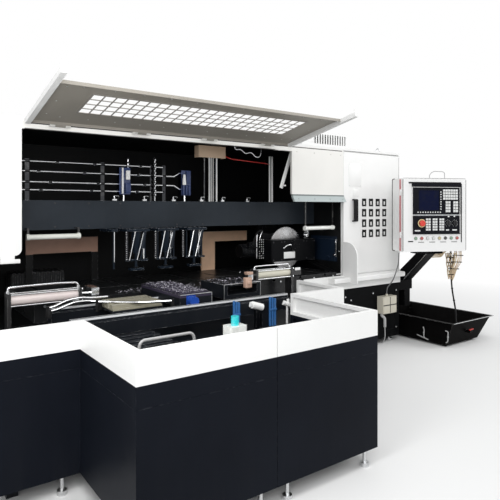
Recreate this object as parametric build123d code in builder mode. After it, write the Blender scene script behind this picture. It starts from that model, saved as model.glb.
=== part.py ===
from build123d import *
import os
from math import cos, radians, sin

# Plate sawing machine: a long fabricated base with an enclosed sawing room, a
# guarded feeding bay in front of it, an electric cabinet and a control box at
# the right. X runs along the machine to the right, Y from the operator's side
# to the back, Z is up. The origin is on the floor under the middle of the box
# round the whole machine. All lengths are millimetres.

# Overall plan
base_length = 4790
tank_reach = 940
enclosure_depth = 1450
feed_depth = 1850
enclosure_height = 2230

x_left = -(base_length + tank_reach) / 2
x_base_right = x_left + base_length
x_right = x_base_right + tank_reach
y_front = -(feed_depth + enclosure_depth) / 2
y_enclosure = y_front + feed_depth
y_rear = y_enclosure + enclosure_depth

# Stations along the machine, from its left end
end_cover_length = 550
cabinet_length = 956
upper_panel_length = 735
x_opening = x_left + end_cover_length
x_cabinet = x_base_right - cabinet_length
x_upper_panel = x_cabinet - upper_panel_length

# Base
foot_height = 60
foot_radius = 45
foot_stem_radius = 14
guard_foot_radius = 27
guard_foot_stem = 11
base_top = 730
base_edge = 14
base_recess_depth = 6
base_recess_margin = 90
base_recess_count = 5
sheet = 3
seat_gap = 0.3

# Work table
table_thickness = 150
table_top = base_top + table_thickness
table_inset = 20
table_depth = 1010
table_end_gap = 90
tee_slot_width = 22
tee_slot_depth = 28
tee_slot_count = 9
blade_slot_width = 14
blade_slot_depth = 120

# Stop bracket and rear rail along the table's back edge, and the ribbed way
# cover behind them
stop_bar_inset = 1232
stop_bar_length = 654
stop_bar_low = 1198
stop_bar_high = 1310
stop_post_offset = 40
stop_post_width = 170
stop_depth = 24
stop_edge_gap = 2
rear_rail_inset = 250
rear_rail_length = 663
rear_rail_low = 1155
rear_rail_high = 1296
rear_rail_post = 60
way_cover_inset = 50
way_cover_length = 460
way_cover_gap = 20
way_cover_depth = 230
way_cover_height = 255
way_cover_ribs = 11
way_cover_rib = 8

# Feeding bay guard
bay_length = 1590
bay_left = 620
bay_depth = 763
guard_end_left = 120
guard_right_reach = 500
guard_return_gap = 550
guard_bottom = 100
guard_seam = 687
trim_bottom = 790
guard_top = 945
panel_thickness = 30
seam_gap = 4
fold_width = 24

# Feed frame and drip tray inside the guard
tray_height = 660
feed_tube = 90
feed_rail_height = 28
feed_rail_width = 34
feed_beam_top = 870
front_beam_gap = 805
rear_beam_gap = 350

# Feeder unit, stacking plates and guide box on the feed rails
feeder_left = 825
feeder_width = 260
feeder_front_gap = 720
feeder_back_gap = 60
feeder_height = 85
feeder_ribs = 9
feeder_rib_width = 30
feeder_rib_height = 12
feeder_motor_radius = 34
feeder_motor_length = 60
plate_rack_left = 365
plate_rack_length = 360
plate_rack_front_gap = 640
plate_rack_depth = 300
plate_rack_height = 52
plate_rack_slats = 4
guide_box_right = 480
guide_box_length = 350
guide_box_front_gap = 620
guide_box_depth = 350
guide_box_height = 110
chip_lift_left = 150
chip_lift_length = 340
chip_lift_front_gap = 1500
chip_lift_depth = 560
chip_lift_height = 135
chip_lift_ribs = 7

# Enclosure
wall = 25
header_height = 80
header_thickness = 40
opening_top = enclosure_height - header_height
cover_bottom = 1235
cover_corner = 45
lip_top = enclosure_height - 508
lip_bottom = lip_top - 82
lip_drop = 45
apron_top = 842
apron_bottom = 690
apron_reach = 585
apron_thickness = 10
shelf_depth = 110
shelf_left_reach = 240
shelf_right_inset = 40
shelf_top = 830
shelf_bottom = 772
shelf_nose = 16
wing_depth = 208
wing_top = 1207
wing_thickness = 12
wing_corner = 150
vent_length = 660
vent_inset = 594
vent_depth = 420
vent_height = 150
vent_slots = 13
vent_slot_run = 480

# Electric cabinet
cabinet_depth = 520
door_thickness = 24
door_gap = 3
door_seat_gap = 5
door_pin_radius = 4
door_pin_length = 14
door_pin_inset = 12
door_lug = 26
door_lug_height = 12
louvre_inset = 297
louvre_bottom = 1250
louvre_slots = 3
louvre_slot_height = 12
louvre_columns = 4
louvre_rows = 4
louvre_width = 66
louvre_height = 76
louvre_pitch_x = 115
louvre_pitch_z = 117
handle_width = 55
handle_height = 250
handle_reach = 40
handle_bar = 14
handle_inset = 165
handle_bottom = 1425
module_rows = 4
module_height = 120
chute_width = 84
chute_front_gap = 40
chute_depth = 460
chute_front_z = 860
chute_back_z = 970
chute_thickness = 12
side_sheet_thickness = 14
side_sheet_front_gap = 120
side_sheet_depth = 285
side_sheet_low = 985
side_sheet_high = 1230
side_knob_radius = 20

# Lifting flap over the opening
flap_length = 768
flap_right = 2470
flap_angle = 11.3
flap_thickness = 24
flap_arm_reach = 170
flap_arm_width = 38
hinge_radius = 9
hinge_bore_gap = 0.05
hinge_offset = 32
hinge_height = enclosure_height - 40
hinge_length = 150
hinge_count = 4
hinge_inset = 260
mesh_columns = 23
mesh_rows = 4
mesh_bar = 9
mesh_thickness = 4
mesh_margin_side = 300
mesh_margin_front = 150
mesh_margin_back = 238

# Cross beam
beam_front = y_enclosure + 470
beam_depth = 200
beam_bottom = 1395
beam_top = 1640
beam_wall = 16
rail_thickness = 25
rail_width = 34
rail_low = 1440
rail_high = 1595

# Saw unit
blade_inset = 444
blade_x = x_cabinet - blade_inset
blade_y = y_enclosure + 450
blade_z = 1136
blade_radius = 230
blade_thickness = 3.2
blade_teeth = 60
blade_tooth_depth = 7
blade_gullet_share = 0.55
blade_bore = 20
arbor_gap = 0.03
flange_radius = 70
head_half_width = 313
head_front = y_enclosure + 300
head_band_depth = 140
head_band_top = 1236
head_band_bottom = 1005
head_gap = 16
head_rear_depth = 140
head_cheek = 55
head_boss_radius = 58
head_boss_depth = 18
head_nut_depth = 6
head_boss_z = 1165
head_rear_rise = 60
carriage_half_width = 200
carriage_thickness = 45
carriage_bottom = 1130
carriage_top = 1655
slide_rail_offset = 120
slide_rail_width = 40
slide_rail_depth = 18
motor_radius = 68
motor_length = 260
motor_z = 1120
arbor_depth = 60

# Hold-down units
hold_down_stations = (1530, 1812, 2105)
hold_down_y = y_enclosure + 240
hold_down_plate_width = 205
hold_down_plate_depth = 120
hold_down_plate_thickness = 20
hold_down_cylinder_top = 46
hold_down_cylinder_foot = 30
hold_down_cylinder_length = 190
hold_down_rod_radius = 12
hold_down_rod_gap = 0.3
hold_down_pad_width = 120
hold_down_pad_depth = 64
hold_down_pad_thickness = 22
hold_down_pad_bottom = 1035
guide_rod_radius = 9
guide_rod_offset = 80
slant_angle = 9
slant_offset = 62
slant_forward = 44
slant_radius = 15
slant_length = 150
slant_rod_radius = 6
feeler_station = 1329
feeler_radius = 9

# Pipes and valves on the beam
pipe_radius = 9
pipe_heights = (beam_top + 86, beam_top + 152, beam_top + 240, beam_top + 322)
pipe_left = 640
pipe_right = 1930
pipe_y = y_enclosure + 505
clamp_bar_width = 34
clamp_bar_thickness = 10
clamp_bar_stations = (700, 1330, 1803, 1930)
bend_run = 100
bend_rise = 50
bend_reach = 190
valve_width = 104
valve_depth = 60
valve_low = beam_top + 60
valve_high = beam_top + 300
lift_unit_station = 2440
lift_unit_bottom_width = 130
lift_unit_top = enclosure_height - 145
lift_unit_head_width = 300
lift_unit_head_height = 110
post_inset = 634
post_width = 50
post_top = enclosure_height - 90

# Work lamps
lamp_radius = 21
lamp_length = 425
lamp_cap_length = 26
beam_lamp_inset = 115
beam_lamp_y = y_enclosure + 380
beam_lamp_z = 1343
front_lamp_inset = 266
front_lamp_y = y_enclosure + 110
front_lamp_z = 1362
lamp_hanger = 16

# Side aligning clamps
clamp_z = 955
clamp_barrel_radius = 36
clamp_plate = 96
clamp_plate_thickness = 22
clamp_rod_radius = 14
clamp_rod_gap = 0.3
clamp_travel = 160
left_clamp_station = 406
left_clamp_barrel = 494
left_clamp_gap = 210
left_clamp_y = y_enclosure - left_clamp_gap
right_clamp_inset = 181
right_clamp_barrel = 441
right_clamp_gap = 120
right_clamp_y = y_enclosure - right_clamp_gap
clamp_jaw_thickness = 55
clamp_jaw_width = 150
clamp_jaw_height = 90

# Lubricating unit in the front bay
lub_x = x_left + 1291
lub_y = y_front + 215
lub_width = 112
lub_depth = 90
lub_top = 935
lub_cap_radius = 22
lub_cap_height = 50
pump_x = x_left + 890
pump_y = y_front + 230
pump_length = 330
pump_width = 150
pump_block_height = 110
pump_end_inset = 32
pump_axis_height = 160
pump_radius = 63
hoop_height = 262
hoop_inset = 12
hoop_radius = 8
hoop_bend = 32

# Coolant tank
tank_front_reach = 645
tank_front = y_enclosure - tank_front_reach
tank_depth = 1195
tank_left = x_base_right + 130
tank_rim_height = 282
tank_floor_clear = 22
tank_wall = 6
tank_slope_right = 150
tank_slope_front = 80
tank_slope_left = 18
tank_rim_width = 26
tap_radius = 17
tap_reach = 70
tap_height = 150
tap_lever_length = 62

# Junction box on the base
junction_inset = 282
junction_x = x_base_right - junction_inset
junction_width = 235
junction_height = 195
junction_bottom = 362
junction_depth = 85

# Control box
box_inset = 45
box_reach = 515
box_x = x_base_right - box_inset
box_y = y_enclosure - box_reach
box_yaw = -24.8
box_width = 770
box_height = 812
box_depth = 260
box_bottom = 1092
box_door = 42
box_seal = 8
box_wall = 4
box_corner = 8
box_hinge_radius = 7
display_height = 306
key_panel_height = 205
bezel_height = 34
bezel_rise = 6
bezel_side = 12
button_count = 8
button_radius = 17
button_height = 11
button_gap = 0.3
button_row = 148
button_left = 152
button_pitch = 72
estop_radius = 34
knob_radius = 26

# Support arm
arm_width = 180
arm_height = 130
arm_stub = 180
arm_drop_width = 100
arm_drop_bottom = 390

# Cords
cable_radius = 6
hose_radius = 9
gland_radius = 13
gland_length = 24


def block(x0, x1, y0, y1, z0, z1, mode=Mode.ADD):
    """A rectangular block between two corners, in the sub-part being built."""
    with Locations(((x0 + x1) / 2, (y0 + y1) / 2, (z0 + z1) / 2)):
        return Box(abs(x1 - x0), abs(y1 - y0), abs(z1 - z0), mode=mode)


def rod_x(x0, x1, y, z, radius, mode=Mode.ADD):
    """A round bar along X."""
    with Locations(Location(((x0 + x1) / 2, y, z), (0, 90, 0))):
        return Cylinder(radius, abs(x1 - x0), mode=mode)


def rod_y(x, y0, y1, z, radius, mode=Mode.ADD):
    """A round bar along Y."""
    with Locations(Location((x, (y0 + y1) / 2, z), (90, 0, 0))):
        return Cylinder(radius, abs(y1 - y0), mode=mode)


def rod_z(x, y, z0, z1, radius, mode=Mode.ADD):
    """A round bar along Z."""
    with Locations((x, y, (z0 + z1) / 2)):
        return Cylinder(radius, abs(z1 - z0), mode=mode)


def save(part, name):
    """Labels a finished sub-part and writes its STEP file."""
    part.label = name
    export_step(part, "parts/" + name + ".step")


os.makedirs("parts", exist_ok=True)

# Base: a welded box with shallow recessed fields on its front
recess_pitch = (base_length - base_recess_margin) / base_recess_count
with BuildPart() as bed_frame:
    block(x_left, x_base_right, y_enclosure, y_rear, foot_height, base_top)
    chamfer(bed_frame.edges().filter_by(Axis.Z), base_edge)
    for i in range(base_recess_count):
        recess_left = x_left + base_recess_margin + i * recess_pitch
        block(
            recess_left,
            recess_left + recess_pitch - base_recess_margin,
            y_enclosure - 1,
            y_enclosure + base_recess_depth,
            foot_height + base_recess_margin,
            apron_bottom - base_recess_margin,
            mode=Mode.SUBTRACT,
        )
save(bed_frame.part, "bed_frame")

# Levelling feet under the base and under the guard
guard_left_x = x_left + guard_end_left
bay_left_x = x_left + bay_left
bay_right_x = bay_left_x + bay_length
guard_right_x = bay_right_x + guard_right_reach
guard_side_y = y_front + bay_depth
guard_return_y = y_enclosure - guard_return_gap
foot_inset = 2 * foot_radius
base_foot_pitch = (base_length - 2 * foot_inset) / 4
guard_foot_places = (
    (bay_left_x + foot_inset, y_front + guard_foot_radius),
    ((bay_left_x + bay_right_x) / 2 - foot_inset, y_front + guard_foot_radius),
    ((bay_left_x + bay_right_x) / 2 + foot_inset, y_front + guard_foot_radius),
    (bay_right_x - foot_inset, y_front + guard_foot_radius),
    (guard_left_x + foot_inset, guard_side_y + guard_foot_radius),
    (bay_left_x - foot_inset, guard_side_y + guard_foot_radius),
    (bay_right_x + foot_inset, guard_side_y + guard_foot_radius),
    (guard_right_x - foot_inset, guard_side_y + guard_foot_radius),
    (guard_left_x + guard_foot_radius, guard_return_y - foot_inset),
    (guard_right_x - guard_foot_radius, guard_return_y - foot_inset),
    (bay_left_x + guard_foot_radius, guard_side_y - 3 * foot_inset),
    (bay_right_x - guard_foot_radius, guard_side_y - 3 * foot_inset),
)
with BuildPart() as levelling_feet:
    for i in range(5):
        for foot_y in (y_enclosure + foot_inset, y_rear - foot_inset):
            foot_x = x_left + foot_inset + i * base_foot_pitch
            rod_z(foot_x, foot_y, 0, foot_height / 3, foot_radius)
            rod_z(foot_x, foot_y, foot_height / 3, foot_height, foot_stem_radius)
    for foot_x, foot_y in guard_foot_places:
        rod_z(foot_x, foot_y, 0, guard_bottom / 4, guard_foot_radius)
        rod_z(foot_x, foot_y, guard_bottom / 4, guard_bottom, guard_foot_stem)
save(levelling_feet.part, "levelling_feet")

# Work table with tee slots across it and the long slot for the blade
table_left = x_opening + table_end_gap
table_right = x_cabinet - table_end_gap
table_front = y_enclosure + table_inset
table_length = table_right - table_left
tee_pitch = table_length / tee_slot_count
with BuildPart() as work_table:
    block(table_left, table_right, table_front, table_front + table_depth, base_top, table_top)
    for i in range(tee_slot_count):
        slot_x = table_left + (i + 0.5) * tee_pitch
        block(
            slot_x - tee_slot_width / 2,
            slot_x + tee_slot_width / 2,
            table_front - 1,
            table_front + table_depth + 1,
            table_top - tee_slot_depth / 2,
            table_top + 1,
            mode=Mode.SUBTRACT,
        )
        block(
            slot_x - tee_slot_width,
            slot_x + tee_slot_width,
            table_front - 1,
            table_front + table_depth + 1,
            table_top - tee_slot_depth,
            table_top - tee_slot_depth / 2,
            mode=Mode.SUBTRACT,
        )
    block(
        table_left + table_end_gap / 2,
        table_right - table_end_gap / 4,
        blade_y - blade_slot_width / 2,
        blade_y + blade_slot_width / 2,
        table_top - blade_slot_depth,
        table_top + 1,
        mode=Mode.SUBTRACT,
    )
    # stop bracket and rear rail along the table's back edge
    stop_y1 = table_front + table_depth - stop_edge_gap
    stop_y0 = stop_y1 - stop_depth
    stop_x0 = x_cabinet - stop_bar_inset
    block(stop_x0, stop_x0 + stop_bar_length, stop_y0, stop_y1, stop_bar_low, stop_bar_high)
    block(
        stop_x0 + stop_post_offset,
        stop_x0 + stop_post_offset + stop_post_width,
        stop_y0,
        stop_y1,
        table_top,
        stop_bar_low,
    )
    rail_x0 = x_opening + rear_rail_inset
    block(rail_x0, rail_x0 + rear_rail_length, stop_y0, stop_y1, rear_rail_low, rear_rail_high)
    for post_x in (rail_x0, rail_x0 + rear_rail_length - rear_rail_post):
        block(post_x, post_x + rear_rail_post, stop_y0, stop_y1, table_top, rear_rail_low)
    # ribbed cover of the travel ways, behind the table
    cover_x0 = table_left + way_cover_inset
    cover_y0 = table_front + table_depth + way_cover_gap
    block(
        cover_x0,
        cover_x0 + way_cover_length,
        cover_y0,
        cover_y0 + way_cover_depth,
        base_top,
        base_top + way_cover_height - way_cover_rib,
    )
    rib_pitch = way_cover_length / way_cover_ribs
    rib_places = [
        (
            cover_x0 + (i + 0.5) * rib_pitch,
            cover_y0 + way_cover_depth / 2,
            base_top + way_cover_height / 2,
        )
        for i in range(way_cover_ribs)
    ]
    with Locations(*rib_places):
        Box(rib_pitch / 2, way_cover_depth + way_cover_rib, way_cover_height)
save(work_table.part, "work_table")

# Feed frame: drip tray on tube legs, with two rails across the bay
inner = panel_thickness
tray_left = guard_left_x + inner
tray_right = guard_right_x - inner
feed_beam_places = (y_enclosure - front_beam_gap, y_enclosure - rear_beam_gap)
with BuildPart() as feed_bed:
    block(tray_left, tray_right, guard_side_y + inner, y_enclosure, tray_height, tray_height + 2 * sheet)
    block(
        bay_left_x + inner,
        bay_right_x - inner,
        y_front + inner,
        guard_side_y + inner,
        tray_height,
        tray_height + 2 * sheet,
    )
    for beam_y in feed_beam_places:
        block(
            bay_left_x + inner,
            guard_right_x - 4 * feed_tube,
            beam_y - feed_tube / 2,
            beam_y + feed_tube / 2,
            feed_beam_top - feed_tube,
            feed_beam_top,
        )
        block(
            bay_left_x + inner,
            guard_right_x - 4 * feed_tube,
            beam_y - feed_rail_width / 2,
            beam_y + feed_rail_width / 2,
            feed_beam_top,
            feed_beam_top + feed_rail_height,
        )
        for post_x in (bay_left_x + 2 * feed_tube, bay_right_x - feed_tube):
            block(
                post_x - feed_tube / 2,
                post_x + feed_tube / 2,
                beam_y - feed_tube / 2,
                beam_y + feed_tube / 2,
                0,
                feed_beam_top - feed_tube,
            )
    for post_x, post_y in (
        (bay_left_x + 2 * feed_tube, y_front + 2 * feed_tube),
        (bay_right_x - 2 * feed_tube, y_front + 2 * feed_tube),
        (guard_left_x + 2 * feed_tube, guard_side_y + 2 * feed_tube),
        (guard_right_x - 2 * feed_tube, guard_side_y + 2 * feed_tube),
    ):
        block(
            post_x - feed_tube / 3,
            post_x + feed_tube / 3,
            post_y - feed_tube / 3,
            post_y + feed_tube / 3,
            0,
            tray_height,
        )
    # feeder unit with ribs across its top and a motor at its front
    feeder_x0 = bay_left_x + feeder_left
    feeder_y0 = y_enclosure - feeder_front_gap
    feeder_y1 = y_enclosure - feeder_back_gap
    feeder_top = feed_beam_top + feeder_height
    block(feeder_x0, feeder_x0 + feeder_width, feeder_y0, feeder_y1, feed_beam_top, feeder_top)
    rib_pitch = (feeder_y1 - feeder_y0) / feeder_ribs
    rib_places = [
        (feeder_x0 + feeder_width / 2, feeder_y0 + (i + 0.5) * rib_pitch, feeder_top + feeder_rib_height / 2)
        for i in range(feeder_ribs)
    ]
    with Locations(*rib_places):
        Box(feeder_width - feeder_rib_width, feeder_rib_width, feeder_rib_height)
    rod_y(
        feeder_x0 + feeder_width / 3,
        feeder_y0 - feeder_motor_length,
        feeder_y0,
        feed_beam_top + feeder_height / 2,
        feeder_motor_radius,
    )
    # slatted rack that carries the next plates
    rack_x0 = bay_left_x + plate_rack_left
    rack_y0 = y_enclosure - plate_rack_front_gap
    block(
        rack_x0,
        rack_x0 + plate_rack_length,
        rack_y0,
        rack_y0 + plate_rack_depth,
        feed_beam_top,
        feed_beam_top + plate_rack_height / 2,
    )
    slat_pitch = plate_rack_depth / plate_rack_slats
    slat_places = [
        (
            rack_x0 + plate_rack_length / 2,
            rack_y0 + (i + 0.5) * slat_pitch,
            feed_beam_top + plate_rack_height * 3 / 4,
        )
        for i in range(plate_rack_slats)
    ]
    with Locations(*slat_places):
        Box(plate_rack_length, slat_pitch * 0.6, plate_rack_height / 2)
    # guide box at the right of the feeder, with an open front
    guide_x1 = guard_right_x - guide_box_right
    guide_x0 = guide_x1 - guide_box_length
    guide_y0 = y_enclosure - guide_box_front_gap
    block(guide_x0, guide_x1, guide_y0, guide_y0 + guide_box_depth, feed_beam_top, feed_beam_top + guide_box_height)
    block(
        guide_x0 + feed_rail_width,
        guide_x1 - feed_rail_width,
        guide_y0 - 1,
        guide_y0 + guide_box_depth / 2,
        feed_beam_top + feed_rail_height,
        feed_beam_top + guide_box_height - 4 * sheet,
        mode=Mode.SUBTRACT,
    )
    # ribbed chip lift in the bay, on the drip tray
    lift_x0 = bay_left_x + chip_lift_left
    lift_y0 = y_enclosure - chip_lift_front_gap
    lift_z0 = tray_height + 2 * sheet
    block(
        lift_x0,
        lift_x0 + chip_lift_length,
        lift_y0,
        lift_y0 + chip_lift_depth,
        lift_z0,
        lift_z0 + chip_lift_height - feeder_rib_height,
    )
    rib_pitch = chip_lift_depth / chip_lift_ribs
    rib_places = [
        (lift_x0 + chip_lift_length / 2, lift_y0 + (i + 0.5) * rib_pitch, lift_z0 + chip_lift_height / 2)
        for i in range(chip_lift_ribs)
    ]
    with Locations(*rib_places):
        Box(chip_lift_length + feeder_rib_height, rib_pitch / 2, chip_lift_height)
save(feed_bed.part, "feed_bed")

# Guard: dark sheet pans, folded back at their edges, with white trim above them
bay_seam_x = (bay_left_x + bay_right_x) / 2


def pan_front(x0, x1, y0, z0, z1):
    """A pan facing the operator, hollow at its back."""
    block(x0, x1, y0, y0 + panel_thickness, z0, z1)
    block(
        x0 + fold_width,
        x1 - fold_width,
        y0 + sheet,
        y0 + panel_thickness + 1,
        z0 + fold_width,
        z1 - fold_width,
        mode=Mode.SUBTRACT,
    )


def pan_left(x0, y0, y1, z0, z1):
    """A pan facing left, hollow at its back."""
    block(x0, x0 + panel_thickness, y0, y1, z0, z1)
    block(
        x0 + sheet,
        x0 + panel_thickness + 1,
        y0 + fold_width,
        y1 - fold_width,
        z0 + fold_width,
        z1 - fold_width,
        mode=Mode.SUBTRACT,
    )


def pan_right(x1, y0, y1, z0, z1):
    """A pan facing right, hollow at its back."""
    block(x1 - panel_thickness, x1, y0, y1, z0, z1)
    block(
        x1 - panel_thickness - 1,
        x1 - sheet,
        y0 + fold_width,
        y1 - fold_width,
        z0 + fold_width,
        z1 - fold_width,
        mode=Mode.SUBTRACT,
    )


def seam_front(x0, x1, y0):
    """The pressed seam across a front panel."""
    seam_z = (guard_seam - seam_gap / 2, guard_seam + seam_gap / 2)
    block(x0 - 1, x1 + 1, y0 - 1, y0 + sheet / 2, *seam_z, mode=Mode.SUBTRACT)


def seam_side(x0, x1, y0, y1):
    """The pressed seam across a side panel."""
    seam_z = (guard_seam - seam_gap / 2, guard_seam + seam_gap / 2)
    block(x0, x1, y0 - 1, y1 + 1, *seam_z, mode=Mode.SUBTRACT)


with BuildPart() as guard_panel_left:
    pan_front(guard_left_x, bay_left_x, guard_side_y, guard_bottom, trim_bottom)
    pan_left(guard_left_x, guard_side_y + panel_thickness, guard_return_y, guard_bottom, trim_bottom)
    seam_front(guard_left_x, bay_left_x, guard_side_y)
    seam_side(guard_left_x - 1, guard_left_x + sheet / 2, guard_side_y, guard_return_y)
save(guard_panel_left.part, "guard_panel_left")

with BuildPart() as guard_panel_step_left:
    pan_left(
        bay_left_x,
        y_front + panel_thickness,
        guard_side_y + panel_thickness,
        guard_bottom,
        trim_bottom,
    )
    seam_side(bay_left_x - 1, bay_left_x + sheet / 2, y_front + panel_thickness, guard_side_y)
save(guard_panel_step_left.part, "guard_panel_step_left")

with BuildPart() as guard_panel_centre_left:
    pan_front(bay_left_x, bay_seam_x - seam_gap / 2, y_front, guard_bottom, trim_bottom)
    seam_front(bay_left_x, bay_seam_x, y_front)
save(guard_panel_centre_left.part, "guard_panel_centre_left")

with BuildPart() as guard_panel_centre_right:
    pan_front(bay_seam_x + seam_gap / 2, bay_right_x, y_front, guard_bottom, trim_bottom)
    seam_front(bay_seam_x, bay_right_x, y_front)
save(guard_panel_centre_right.part, "guard_panel_centre_right")

with BuildPart() as guard_panel_step_right:
    pan_right(
        bay_right_x,
        y_front + panel_thickness,
        guard_side_y + panel_thickness,
        guard_bottom,
        trim_bottom,
    )
    seam_side(bay_right_x - sheet / 2, bay_right_x + 1, y_front + panel_thickness, guard_side_y)
save(guard_panel_step_right.part, "guard_panel_step_right")

with BuildPart() as guard_panel_right:
    pan_front(bay_right_x, guard_right_x, guard_side_y, guard_bottom, trim_bottom)
    pan_right(guard_right_x, guard_side_y + panel_thickness, guard_return_y, guard_bottom, trim_bottom)
    seam_front(bay_right_x, guard_right_x, guard_side_y)
    seam_side(guard_right_x - sheet / 2, guard_right_x + 1, guard_side_y, guard_return_y)
save(guard_panel_right.part, "guard_panel_right")

with BuildPart() as guard_trim_left:
    pan_front(guard_left_x, bay_left_x, guard_side_y, trim_bottom, guard_top)
    pan_left(guard_left_x, guard_side_y + panel_thickness, guard_return_y, trim_bottom, guard_top)
save(guard_trim_left.part, "guard_trim_left")

with BuildPart() as guard_trim_centre_left:
    pan_front(bay_left_x, bay_seam_x - seam_gap / 2, y_front, trim_bottom, guard_top)
    pan_left(
        bay_left_x,
        y_front + panel_thickness,
        guard_side_y + panel_thickness,
        trim_bottom,
        guard_top,
    )
save(guard_trim_centre_left.part, "guard_trim_centre_left")

with BuildPart() as guard_trim_centre_right:
    pan_front(bay_seam_x + seam_gap / 2, bay_right_x, y_front, trim_bottom, guard_top)
    pan_right(
        bay_right_x,
        y_front + panel_thickness,
        guard_side_y + panel_thickness,
        trim_bottom,
        guard_top,
    )
save(guard_trim_centre_right.part, "guard_trim_centre_right")

with BuildPart() as guard_trim_right:
    pan_front(bay_right_x, guard_right_x, guard_side_y, trim_bottom, guard_top)
    pan_right(guard_right_x, guard_side_y + panel_thickness, guard_return_y, trim_bottom, guard_top)
save(guard_trim_right.part, "guard_trim_right")

# Enclosure: cover over the left end, roof with back wall, header over the opening
roof_bottom = enclosure_height - wall
cover_back = y_rear - wall
with BuildPart() as left_end_cover:
    block(x_left, x_opening, y_enclosure, cover_back, cover_bottom, roof_bottom)
    corner_edges = left_end_cover.edges().filter_by(Axis.Y).group_by(Axis.Z)[0].sort_by(Axis.X)
    fillet(corner_edges[-1], cover_corner)
    block(x_left, x_left + wall, y_enclosure, cover_back, base_top, cover_bottom)
    block(
        x_left + wall,
        x_opening - 2 * cover_corner,
        y_enclosure + wall,
        cover_back,
        cover_bottom - cover_corner,
        cover_bottom,
    )
save(left_end_cover.part, "left_end_cover")

cabinet_back = y_enclosure + cabinet_depth
with BuildPart() as enclosure_shell:
    block(x_left, x_base_right, y_enclosure, y_rear, roof_bottom, enclosure_height)
    block(x_left, x_base_right, y_rear - wall, y_rear, base_top, roof_bottom)
    block(x_base_right - wall, x_base_right, cabinet_back, y_rear - wall, base_top, roof_bottom)
    block(x_cabinet, x_cabinet + wall, cabinet_back, y_rear - wall, base_top, roof_bottom)
save(enclosure_shell.part, "enclosure_shell")

hinge_y = y_enclosure - hinge_offset
hinge_left = x_opening + hinge_inset
flap_left_x = x_opening + 3
flap_right_x = x_opening + flap_right
hinge_pitch = (flap_right_x - x_opening - 2 * hinge_inset) / (hinge_count - 1)
with BuildPart() as front_header:
    block(
        x_opening,
        x_cabinet,
        y_enclosure,
        y_enclosure + header_thickness,
        opening_top,
        roof_bottom,
    )
    block(
        x_upper_panel,
        x_cabinet,
        y_enclosure,
        y_enclosure + wall,
        lip_top,
        opening_top,
    )
    with BuildSketch(Plane.YZ.offset(x_upper_panel)):
        with BuildLine():
            Polyline(
                (y_enclosure, lip_top),
                (y_enclosure + wall, lip_top),
                (y_enclosure + wall - lip_drop, lip_bottom),
                (y_enclosure - lip_drop, lip_bottom),
                close=True,
            )
        make_face()
    extrude(amount=upper_panel_length)
    for i in range(hinge_count):
        centre = hinge_left + i * hinge_pitch
        for side in (-1, 1):
            x0 = centre + side * (hinge_length / 4 + seat_gap)
            x1 = centre + side * hinge_length / 2
            rod_x(x0, x1, hinge_y, hinge_height, hinge_radius + 6)
            block(x0, x1, hinge_y, y_enclosure, hinge_height - 6, hinge_height + 6)
        rod_x(
            centre - hinge_length / 2,
            centre + hinge_length / 2,
            hinge_y,
            hinge_height,
            hinge_radius,
        )
save(front_header.part, "front_header")

# White apron, shelf and wing plate under and beside the cabinet
with BuildPart() as apron:
    block(
        x_cabinet - apron_reach,
        x_base_right,
        y_enclosure - apron_thickness,
        y_enclosure,
        apron_bottom,
        apron_top,
    )
    block(
        x_cabinet - shelf_left_reach,
        x_base_right - shelf_right_inset,
        y_enclosure - shelf_depth,
        y_enclosure - apron_thickness,
        shelf_bottom,
        shelf_top,
    )
    nose = apron.edges().filter_by(Axis.X).group_by(Axis.Y)[0]
    fillet(nose, shelf_nose)
    with BuildSketch(Plane.YZ.offset(x_cabinet - wing_thickness)):
        with BuildLine():
            Polyline(
                (y_enclosure, shelf_top - shelf_nose),
                (y_enclosure - shelf_depth + shelf_nose, shelf_top - shelf_nose),
                (y_enclosure - shelf_depth + shelf_nose, shelf_bottom),
                (y_enclosure - wing_depth, shelf_bottom),
                (y_enclosure - wing_depth, wing_top - wing_corner),
            )
            RadiusArc(
                (y_enclosure - wing_depth, wing_top - wing_corner),
                (y_enclosure - wing_depth + wing_corner, wing_top),
                wing_corner,
            )
            Polyline(
                (y_enclosure - wing_depth + wing_corner, wing_top),
                (y_enclosure, wing_top),
                (y_enclosure, shelf_top - shelf_nose),
            )
        make_face()
    extrude(amount=wing_thickness)
save(apron.part, "apron")

# Vent box on the roof with a comb of upright slots in its front
vent_x = x_cabinet - vent_inset
vent_front = y_enclosure + 12
vent_wall = 4 * sheet
slot_pitch = vent_slot_run / vent_slots
with BuildPart() as roof_vent:
    block(
        vent_x,
        vent_x + vent_length,
        vent_front,
        vent_front + vent_depth,
        enclosure_height,
        enclosure_height + vent_height,
    )
    block(
        vent_x + vent_wall,
        vent_x + vent_length - vent_wall,
        vent_front + sheet,
        vent_front + vent_depth - vent_wall,
        enclosure_height + vent_wall,
        enclosure_height + vent_height - vent_wall,
        mode=Mode.SUBTRACT,
    )
    slot_places = [
        (
            vent_x + vent_length - vent_wall - (i + 0.5) * slot_pitch,
            vent_front,
            enclosure_height + vent_height / 2,
        )
        for i in range(vent_slots)
    ]
    with Locations(*slot_places):
        Box(slot_pitch / 2, 2 * sheet + 2, vent_height - 4 * vent_wall, mode=Mode.SUBTRACT)
save(roof_vent.part, "roof_vent")

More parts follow.
